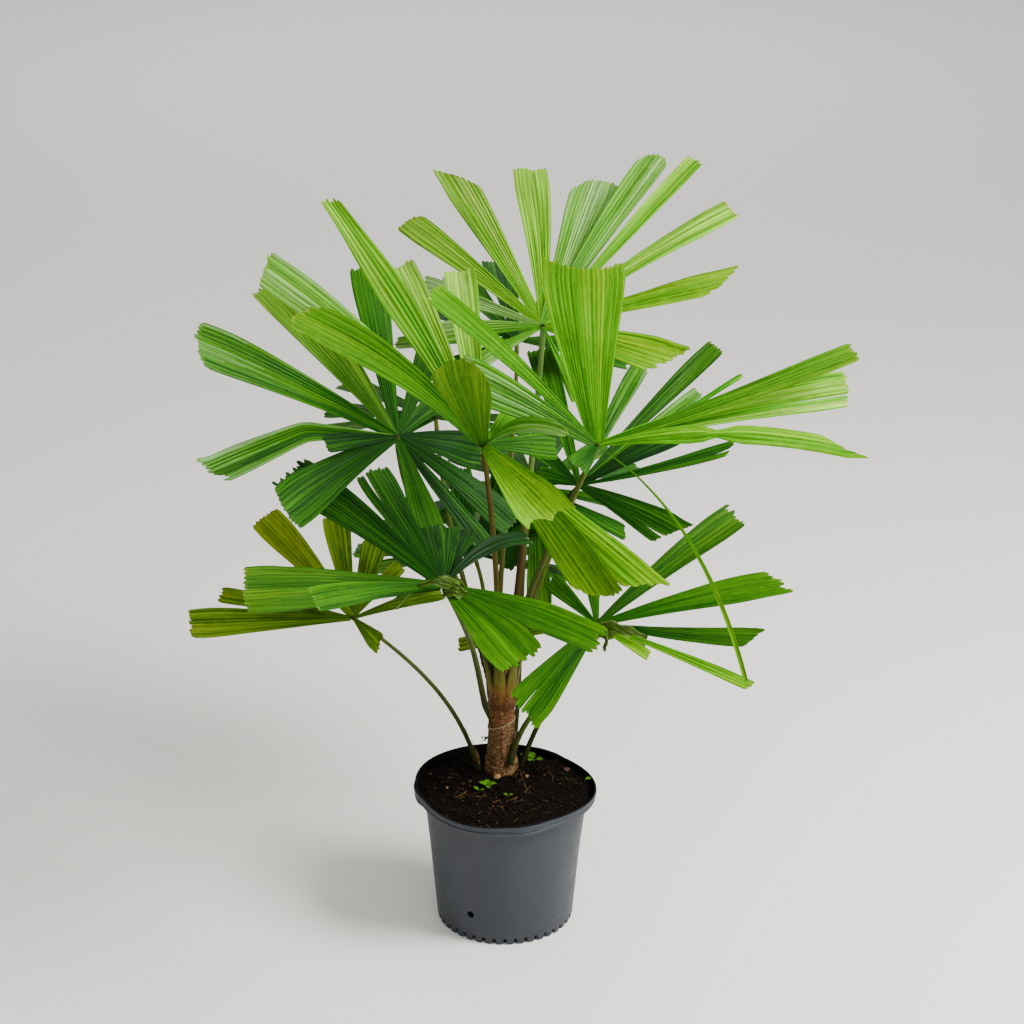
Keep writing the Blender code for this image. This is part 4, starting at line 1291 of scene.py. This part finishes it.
def curled(surface, route, widths, side, wrap, number):
    """A dry leaflet that has curled: route is pixels with depths, widths its half widths."""
    corners = [in_picture(*place) for place in route]
    path = []
    for first, last in zip(corners, corners[1:]):
        path += [first.lerp(last, step / CURL_STEPS) for step in range(CURL_STEPS)]
    path.append(corners[-1])
    for _ in range(4):
        path[1:-1] = [(a + 2 * b + c) / 4 for a, b, c in zip(path, path[1:], path[2:])]
    start, end = widths

    def half_width(share):
        fluted = 1 + 0.14 * math.sin(19 * share + number)
        return (start + (end - start) * share) * fluted * min(1, 0.45 + 4 * share)

    ribbon(surface, path, side, half_width, lambda share: wrap * (0.4 + 0.6 * share),
           lambda place: 2 if abs(place) > 0.85 else int(4 * abs(place) + number) % 2, number,
           bake_strip(number, len(CURLS)), columns=27, thickness=0.0006, ragged=0.0026, ribs=6,
           grain=(100, 6))


def make_curled(materials):
    """The dry, curled leaflets over two of the hubs."""
    surface = Surface()
    for number, (route, widths, side, wrap) in enumerate(CURLS):
        curled(surface, route, widths, Vector(side).normalized(), wrap, number)
    surface.build("dry_leaflets", materials, "leaf_old", sharp=60)


def on_pot(radius, angle, z):
    """A point this far from the pot's axis, where handling has bent the top out of round."""
    bent = (z / POT_HEIGHT) ** 3
    radius += bent * sum(size * math.cos(n * (angle - lead)) for n, size, lead in RIM_WAVES)
    return Vector((radius * math.cos(angle), radius * math.sin(angle), z)) + bent * RIM_SHIFT


def rounded(corners, radius):
    """The outline with each inner corner drawn as a short curve."""
    points = [corners[0]]
    for before, corner, after in zip(corners, corners[1:], corners[2:]):
        b, c, a = (Vector(p) for p in (before, corner, after))
        start, end = (c + (end - c).normalized() * min(radius, (end - c).length * 0.45)
                      for end in (b, a))
        for step in range(CORNER_STEPS + 1):
            t = step / CORNER_STEPS
            points.append(tuple((1 - t) ** 2 * start + 2 * t * (1 - t) * c + t * t * end))
    points.append(corners[-1])
    return points


def spaced(points, longest):
    """The same outline with points added so that no stretch is longer than longest."""
    found = [points[0]]
    for first, last in zip(points, points[1:]):
        a, b = Vector(first), Vector(last)
        steps = max(1, math.ceil((b - a).length / longest))
        found += [tuple(a.lerp(b, (k + 1) / steps)) for k in range(steps)]
    return found


PEG_LEAN = PEG_STEP * (WALL_TOP_RADIUS - FOOT_RADIUS) / NECK_Z
POT_OUTSIDE = [
    (0.0005, 0.0030), (0.1085, 0.0030), (0.1100, 0.0), (FOOT_RADIUS - 0.0005, 0.0),
    (FOOT_RADIUS, 0.0012), (WALL_TOP_RADIUS, NECK_Z), (NECK_RADIUS, NECK_Z + 0.0012),
    (NECK_RADIUS + 0.0008, RIM_Z - 0.001), (RIM_RADIUS - 0.0040, RIM_Z),
    (RIM_RADIUS - 0.0010, RIM_Z + 0.0016), (RIM_RADIUS - 0.0008, RIM_Z + 0.0062),
    (RIM_RADIUS - 0.0022, RIM_Z + 0.0072), (RIM_RADIUS - 0.0020, RIM_Z + 0.0086),
    (RIM_RADIUS, RIM_Z + 0.0100), (RIM_RADIUS, POT_HEIGHT - 0.0022),
    (RIM_RADIUS - 0.0012, POT_HEIGHT)]
POT_INSIDE = [
    (RIM_RADIUS - 0.0030, POT_HEIGHT), (RIM_RADIUS - 0.0036, POT_HEIGHT - 0.0010),
    (RIM_RADIUS - 0.0044, RIM_Z + 0.0040),
    (WALL_TOP_RADIUS - WALL_THICKNESS + 0.0006, RIM_Z - 0.0020),
    (FOOT_RADIUS - WALL_THICKNESS, 0.0045), (0.0005, 0.0045)]


def peg_notch(angle, z):
    """How deep the grooves between the foot's pegs cut in here, and how far the pegs' feet rise."""
    phase = (angle * PEG_COUNT / (2 * math.pi)) % 1
    off = abs(phase - 0.5) * 2
    groove = max(0.0, (off - (1 - NOTCH_SHARE)) / NOTCH_SHARE) ** 0.9
    fade = 1 - eased(NOTCH_HEIGHT - 0.005, NOTCH_HEIGHT, z)
    return NOTCH_DEPTH * groove * fade, PEG_ROUNDING * off ** 3 * max(0.0, 1 - z / 0.006)


def lug_at(angle):
    """1 on the rim's lugs, 0 elsewhere."""
    offs = [math.remainder(angle - math.radians(b), 2 * math.pi) / LUG_HALF_ANGLE
            for b in LUG_BEARINGS]
    return max(math.exp(-off ** 4) for off in offs)


def pot_point(r, z, angle, outside):
    """A point of the pot's outline turned to this angle, with its pegs and lugs."""
    radius, height = r, z
    if outside and r > PEG_INSIDE and z < NOTCH_HEIGHT:
        notch, rise = peg_notch(angle, z)
        radius -= notch
        height += rise
    over = (r - NECK_RADIUS - 0.001) / (RIM_RADIUS - NECK_RADIUS - 0.001)
    if outside and over > 0:
        lug = lug_at(angle)
        radius += LUG_RISE * lug * over
        height -= LUG_DROP * lug * over * (z < POT_HEIGHT - 0.008)
    radius += 0.0005 * noise.noise(Vector((2 * math.cos(angle), 2 * math.sin(angle), 12 * z)))
    return on_pot(radius, angle, height)


def make_pot(outside_material, inside_material):
    """Wall, neck, rolled rim with its lugs, pegs round the foot, floor and drain holes."""
    outside = spaced(rounded(POT_OUTSIDE, 0.0012), 0.010)
    outside = [point for point in outside if not 0.002 < point[1] < NOTCH_HEIGHT]
    wall = [(FOOT_RADIUS + PEG_LEAN * step, PEG_STEP * step) for step in range(2, PEG_ROWS)]
    place = next(k for k, point in enumerate(outside) if point[1] >= NOTCH_HEIGHT)
    outside = outside[:place] + wall + outside[place:]
    outline = outside + spaced(rounded(POT_INSIDE, 0.0015), 0.025)
    columns = PEG_COUNT * PEG_COLUMNS

    def at(row, k):
        r, z = outline[row]
        a = 2 * math.pi * (k % columns) / columns
        return (pot_point(r, z, a, row < len(outside)), (a * 13, z * MAP_SCALE),
                (k / columns, 0.01 + 0.98 * row / (len(outline) - 1)))

    surface = Surface()
    # The inner faces take the second material, near-black painted shade.
    surface.skin(len(outline), columns, at, lambda row, k: row >= len(outside) - 2)
    made = surface.build("nursery_pot", [outside_material, inside_material], "pot", "pot",
                         sharp=POT_SHARP)
    weld = bmesh.new()
    weld.from_mesh(made.data)
    bmesh.ops.remove_doubles(weld, verts=weld.verts, dist=0.00002)
    bmesh.ops.recalc_face_normals(weld, faces=weld.faces)
    weld.to_mesh(made.data)
    weld.free()
    for bearing in DRAIN_BEARINGS:
        drill(made, math.radians(bearing))
    made.data.set_sharp_from_angle(angle=math.radians(POT_SHARP))


def drill(made, bearing):
    """Cuts one drain hole through the wall."""
    bpy.ops.mesh.primitive_cylinder_add(
        vertices=DRAIN_SIDES, radius=DRAIN_RADIUS, depth=DRAIN_DEPTH,
        location=(FOOT_RADIUS * math.cos(bearing), FOOT_RADIUS * math.sin(bearing), DRAIN_HEIGHT),
        rotation=(math.pi / 2, 0, bearing + math.pi / 2))
    cutter = bpy.context.object
    cut = made.modifiers.new("drain", "BOOLEAN")
    cut.operation = "DIFFERENCE"
    cut.object = cutter
    graph = bpy.context.evaluated_depsgraph_get()
    baked = bpy.data.meshes.new_from_object(made.evaluated_get(graph))
    made.modifiers.clear()
    made.data = baked
    bpy.data.objects.remove(cutter)


def mix_height(x, y):
    """The potting mix's lumpy surface: lower at the wall, heaped a little round the trunk."""
    edge = MIX_EDGE_DROP * eased(0.112, 0.146, math.hypot(x, y))
    lumps = noise.fractal(Vector((45 * x, 45 * y, 1.7)), 0.9, 2.0, 4)
    heap = 0.004 * math.exp(-((x - TRUNK_FOOT.x) ** 2 + (y - TRUNK_FOOT.y) ** 2) / 0.045 ** 2)
    return MIX_LEVEL - 0.0010 - edge + MIX_LUMPS * (lumps - 0.3) + heap


def make_mix(material):
    """The mix's own body, from its lumpy top, which fills the rim, down to the pot's floor."""
    wall = RIM_RADIUS - 0.0048
    rings = [((ring + 0.02) / (MIX_RINGS - 1) * wall, None) for ring in range(MIX_RINGS)]
    rings += [(wall - 0.001, RIM_Z + 0.003), (WALL_TOP_RADIUS - WALL_THICKNESS - 0.001, 0.222),
              (FOOT_RADIUS - WALL_THICKNESS - 0.001, 0.006), (0.001, 0.006)]

    def at(row, k):
        r, z = rings[row]
        a = 2 * math.pi * (k % MIX_COLUMNS) / MIX_COLUMNS
        if z is None:
            spot = on_pot(min(r, wall), a, MIX_LEVEL)
            spot.z = mix_height(spot.x, spot.y)
            bake = (0.5 + 3.2 * spot.x, 0.51 + 3.2 * spot.y)
        else:
            spot = on_pot(r, a, z)
            bake = (k / MIX_COLUMNS, 0.005 * (row - MIX_RINGS))
        return spot, (spot.x * MAP_SCALE, spot.y * MAP_SCALE), bake

    surface = Surface()
    surface.skin(len(rings), MIX_COLUMNS, at, turned_over=True)
    surface.build("mix_surface", [material], "mix", "potting_mix", sharp=80)


def scatter_spot(chance, reach=SCATTER_REACH):
    """A random place on the mix, off the trunk."""
    while True:
        a = chance.uniform(0, 2 * math.pi)
        r = reach * math.sqrt(chance.random())
        x, y = r * math.cos(a), r * math.sin(a)
        if math.hypot(x - TRUNK_FOOT.x, y - TRUNK_FOOT.y) > TRUNK_FLARE_RADIUS:
            return x, y


CRUMB_POINTS = [Vector(p).normalized() for p in (
    (0, 0, 1), (0.9, 0, 0.4), (0.3, 0.85, 0.4), (-0.7, 0.5, 0.4), (-0.7, -0.5, 0.4),
    (0.3, -0.85, 0.4), (0.7, 0.5, -0.4), (-0.3, 0.85, -0.4), (-0.9, 0, -0.4), (-0.3, -0.85, -0.4),
    (0.7, -0.5, -0.4), (0, 0, -1))]
CRUMB_FACES = [(0, 1, 2), (0, 2, 3), (0, 3, 4), (0, 4, 5), (0, 5, 1), (1, 6, 2), (2, 7, 3),
               (3, 8, 4), (4, 9, 5), (5, 10, 1), (6, 7, 2), (7, 8, 3), (8, 9, 4), (9, 10, 5),
               (10, 6, 1), (11, 7, 6), (11, 8, 7), (11, 9, 8), (11, 10, 9), (11, 6, 10)]


def crumb(surface, place, size, stretch, chance, slot, number):
    """A small uneven lump, stretched along a random direction."""
    turn = chance.uniform(0, math.pi)
    points = []
    for corner in CRUMB_POINTS:
        p = corner * size * chance.uniform(0.7, 1.2)
        x = p.x * stretch
        points.append(place + Vector((x * math.cos(turn) - p.y * math.sin(turn),
                                      x * math.sin(turn) + p.y * math.cos(turn), p.z * 0.7)))
    uv = [(number % 40 / 40 + 0.02 * p.x, number // 40 / 60 + 0.01 * p.z) for p in CRUMB_POINTS]
    surface.add(points, CRUMB_FACES, slot, uv, uv)


def make_crumbs(materials):
    """Crumbs and bark chips of the mix, and a few pebbles."""
    chance = random.Random(SEED + 2)
    surface = Surface()
    for slot, (first, count, rise, stretches, draw_size) in enumerate((
            (0, CRUMB_COUNT, 0, (1, 1.8), lambda: 0.0009 + 0.0022 * chance.random() ** 2.5),
            (CRUMB_COUNT, CHIP_COUNT, 0.0012, (2.5, 5), lambda: chance.uniform(0.0008, 0.0018)),
            (2400, SPECK_COUNT, 0.0012, (1, 2.5), lambda: chance.uniform(0.0004, 0.0009)))):
        for number in range(first, first + count):
            x, y = scatter_spot(chance)
            size = draw_size()
            place = Vector((x, y, mix_height(x, y) + (rise or 0.3 * size)))
            crumb(surface, place, size, chance.uniform(*stretches), chance, slot, number)
    for number, (u, v, size, slot) in enumerate(PEBBLES, 3000):
        crumb(surface, on_mix(u, v) + 0.3 * size * UP, size, 1.25, chance, slot, number)
    surface.build("mix_crumbs", materials, "mix", sharp=60)


def sight_line(u, v):
    """The way from the camera through a pixel of the photograph."""
    x = (u - PICTURE_SIZE / 2) / FOCAL_PIXELS
    y = (PICTURE_SIZE / 2 - v) / FOCAL_PIXELS
    ahead = Vector((0, math.cos(CAMERA_PITCH), -math.sin(CAMERA_PITCH)))
    up = Vector((0, math.sin(CAMERA_PITCH), math.cos(CAMERA_PITCH)))
    return ahead + x * VIEW_RIGHT + y * up


def on_mix(u, v):
    """The place on the potting mix that a pixel of the photograph shows."""
    way = sight_line(u, v)
    place = CAMERA_PLACE + way * ((MIX_LEVEL - CAMERA_PLACE.z) / way.z)
    place.z = mix_height(place.x, place.y)
    return place


def thread(surface, places, radius, number):
    """A root: a thin tube through these places, wandering a little between them."""
    path = []
    for first, last in zip(places, places[1:]):
        for step in range(7):
            p = first.lerp(last, step / 7)
            wander = noise.noise_vector(220 * p + Vector((number, 0, 0))) * 0.0016
            path.append(p + Vector((wander.x, wander.y, abs(wander.z))))
    path.append(places[-1])
    tube(surface, path, lambda share: radius * (1 - 0.6 * share), 5, 0, number,
         strip=(number % 20 / 20, 0.045))


def make_threads(material):
    """Roots and fibres that lie on the mix, the large ones where the photograph shows them."""
    chance = random.Random(SEED + 3)
    surface = Surface()
    for number, route in enumerate(ROOTS):
        thread(surface, [on_mix(u, v) + 0.0012 * UP for u, v in route], ROOT_RADIUS, number)
    for number in range(THREAD_COUNT):
        x, y = scatter_spot(chance, THREAD_REACH)
        turn = chance.uniform(0, 2 * math.pi)
        places = []
        for _ in range(3):
            places.append(Vector((x, y, mix_height(x, y) + 0.0010)))
            x += THREAD_STEP * math.cos(turn)
            y += THREAD_STEP * math.sin(turn)
            turn += chance.uniform(-0.9, 0.9)
        if math.hypot(x, y) < 0.124:
            thread(surface, places, chance.uniform(0.0002, 0.0004), 20 + number)
    stray = [in_picture(u, v, TRUNK_FOOT.y - 0.004) for u, v in ((476, 749), (471, 738), (464, 727))]
    thread(surface, [on_mix(479, 764)] + stray, 0.0005, 200)
    surface.build("root_threads", [material], "mix")


def small_leaf(surface, foot, direction, length, width, curl, number, slot=0):
    """A smooth oval leaf, for the seedlings."""
    along = direction.normalized()
    across = along.cross(UP).normalized()
    face = across.cross(along)
    rows, columns = 9, 7
    upper, uv, bake = [], [], []
    for row in range(rows):
        share = row / (rows - 1)
        half = width * math.sin(math.pi * min(0.985, share * 0.97 + 0.015)) ** 0.8
        for column in range(columns):
            place = 2 * column / (columns - 1) - 1
            point = foot + share * length * along + place * half * across
            upper.append(point + (0.25 * abs(place) * half - curl * share * share * length) * face)
            uv.append((number + 0.4 * place * width * MAP_SCALE, share * length * MAP_SCALE))
            bake.append(((number % 6 + 0.5 + 0.4 * column / columns) / 7, row / rows * 0.9))
    lower = [p - 0.0004 * face for p in upper]
    surface.plate(upper, lower, (rows, columns), (slot,) * 3, uv, bake, (0.06, 0))


def make_seedlings(materials):
    """The small weeds on the mix, where the photograph shows them."""
    chance = random.Random(SEED + 4)
    surface = Surface()
    number = 0
    for u, v, leaves, length in WEEDS:
        foot = on_mix(u, v)
        for leaf in range(leaves):
            turn = 2 * math.pi * leaf / leaves + chance.uniform(-0.5, 0.5)
            out = Vector((math.cos(turn), math.sin(turn), chance.uniform(0.3, 0.8)))
            start = foot + Vector((0.15 * length * math.cos(turn), 0.15 * length * math.sin(turn),
                                   0.5 * length))
            tube(surface, [foot, foot.lerp(start, 0.5) + 0.001 * UP, start],
                 lambda share: 0.0004, 5, 0, number, strip=(0, 0.02))
            size = length * chance.uniform(0.75, 1.1)
            small_leaf(surface, start, out, size, 0.42 * size, 0.25, number)
            number += 1
    tuft = in_picture(483, 739, TRUNK_FOOT.y)
    for number in range(number, number + TUFT_LEAVES):
        turn = chance.uniform(0, 2 * math.pi)
        out = Vector((math.cos(turn), math.sin(turn), chance.uniform(0.2, 1.6)))
        small_leaf(surface, tuft + 0.003 * level(turn), out, 0.006, 0.0022, 0.3, number, slot=1)
    surface.build("seedlings", materials, "leaf_mid")


def area_light(name, place, target, size, power, colour):
    data = bpy.data.lights.new(name, "AREA")
    data.shape = "DISK"
    data.size = size
    data.energy = power
    data.color = colour
    made = put(name, data)
    made.location = place
    made.rotation_euler = (Vector(target) - Vector(place)).to_track_quat("-Z", "Y").to_euler()


def make_surroundings():
    """Even pale light from all round, stronger from the right than from the left."""
    world = bpy.data.worlds.new("studio")
    world.use_nodes = True
    made = Nodes(world.node_tree)
    background = made.tree.nodes["Background"].inputs
    made.give(background["Color"], (1.0, 0.99, 0.97, 1))
    way = made.add("ShaderNodeTexCoord").outputs["Generated"]
    across = made.add("ShaderNodeSeparateXYZ", {"Vector": way}).outputs["X"]
    made.give(background["Strength"], made.add("ShaderNodeMapRange", {
        "Value": across, "From Min": -1, "From Max": 1, "To Min": LIGHT_LEFT,
        "To Max": LIGHT_RIGHT}).outputs["Result"])
    bpy.context.scene.world = world


def make_studio():
    """A plain pale floor, soft light from above and the right, and the camera."""
    mesh = bpy.data.meshes.new("floor")
    corners = [(x * FLOOR_REACH, y * FLOOR_REACH, 0) for x, y in ((-1, -1), (1, -1), (1, 1), (-1, 1))]
    mesh.from_pydata(corners, [], [(0, 1, 2, 3)])
    floor = put("floor", mesh)
    mesh.materials.append(Paint("floor_paint", 0.85, 0.2).done(albedo((238, 236, 230))))
    floor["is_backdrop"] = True

    make_surroundings()
    for light in LIGHTS:
        area_light(*light)

    data = bpy.data.cameras.new("camera")
    data.sensor_width = SENSOR_WIDTH
    data.lens = FOCAL_PIXELS / PICTURE_SIZE * SENSOR_WIDTH
    camera = put("camera", data)
    camera.location = CAMERA_PLACE
    camera.rotation_euler = (math.pi / 2 - CAMERA_PITCH, 0, 0)
    bpy.context.scene.camera = camera


def make_plant():
    looks = leaf_materials()
    chance = random.Random(SEED)
    for name, fan in FRONT_FANS.items():
        make_frond(name, fan["hub"], front_leaves(fan), looks, FAN_SLOTS[fan["look"]], chance)
    placing = random.Random(BACK_SEED)
    for name, fan in BACK_FANS.items():
        make_frond(name, fan["hub"], back_leaves(fan, placing), looks, "leaf_dark", chance)

    stalks = {name: stalk_material("stalk_" + name, *STALK_COLOURS[name])
              for name in ("olive", "brown", "green", "dark")}
    for name, rule in STALKS.items():
        make_stalk(name, stalks[rule["tint"]])
    make_hubs(plain_material("hub_knot", (40, 50, 18), 0.8, specular=0.1))
    fibre = fibre_material("trunk_fibre", (50, 34, 20), (124, 92, 58), (180, 144, 102))
    make_trunk(fibre, fibre_material("trunk_red", (50, 34, 20), (128, 86, 50), (172, 128, 84)))
    make_strands(plain_material("strand_pale", (150, 130, 98), 0.9, 0.3, 300.0),
                 plain_material("strand_brown", (84, 58, 36), 0.9, 0.4, 300.0))
    sheath, edge = (stalk_material(name, *STALK_COLOURS[name])
                    for name in ("sheath", "sheath_edge"))
    make_sheaths([sheath, edge, fibre, stalks["dark"]])
    make_curled(looks["husk"][1:4])


def make_pot_and_mix():
    # The pot's inner faces are near black, darker than its slate outside: painted shade inside the
    # pot.
    make_pot(pot_material(), plain_material("pot_inside_shade", (10, 10, 11), 0.8, 0.3, 90.0,
                                            specular=0.1))
    make_mix(plain_material("mix_dark", (14, 9, 6), 0.98, 0.8, 180.0, 1.0, 0.002, 0.05))
    make_crumbs([
        plain_material("crumb_dark", (18, 12, 8), 0.95, 0.7, 90.0, 0.6, 0.001, 0.08),
        plain_material("bark_chip", (62, 38, 22), 0.85, 0.5, 200.0, 0.6, 0.001, 0.15),
        plain_material("pebble_pale", (136, 100, 58), 0.7, 0.3, 150.0, 0.5, 0.001, 0.2),
        plain_material("pebble_brown", (64, 44, 30), 0.7, 0.3, 150.0, 0.5, 0.001, 0.2)])
    make_threads(plain_material("root_tan", (104, 78, 44), 0.85, 0.4, 150.0, specular=0.1))
    make_seedlings([plain_material("seedling_green", (64, 108, 14), 0.6, 0.35, 200.0, specular=0.08),
                    plain_material("tuft_grey", (74, 92, 58), 0.8, 0.4, 260.0)])


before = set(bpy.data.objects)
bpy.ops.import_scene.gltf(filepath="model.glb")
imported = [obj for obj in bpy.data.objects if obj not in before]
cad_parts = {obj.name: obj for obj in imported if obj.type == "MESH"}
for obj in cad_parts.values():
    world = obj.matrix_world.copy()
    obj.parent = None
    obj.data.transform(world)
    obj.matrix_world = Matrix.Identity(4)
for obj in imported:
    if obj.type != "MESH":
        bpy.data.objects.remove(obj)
cad_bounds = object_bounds()
noise.seed_set(SEED)
make_studio()
make_plant()
make_pot_and_mix()
boxes = [[list(corner) for corner in box] for box in (cad_bounds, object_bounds())]
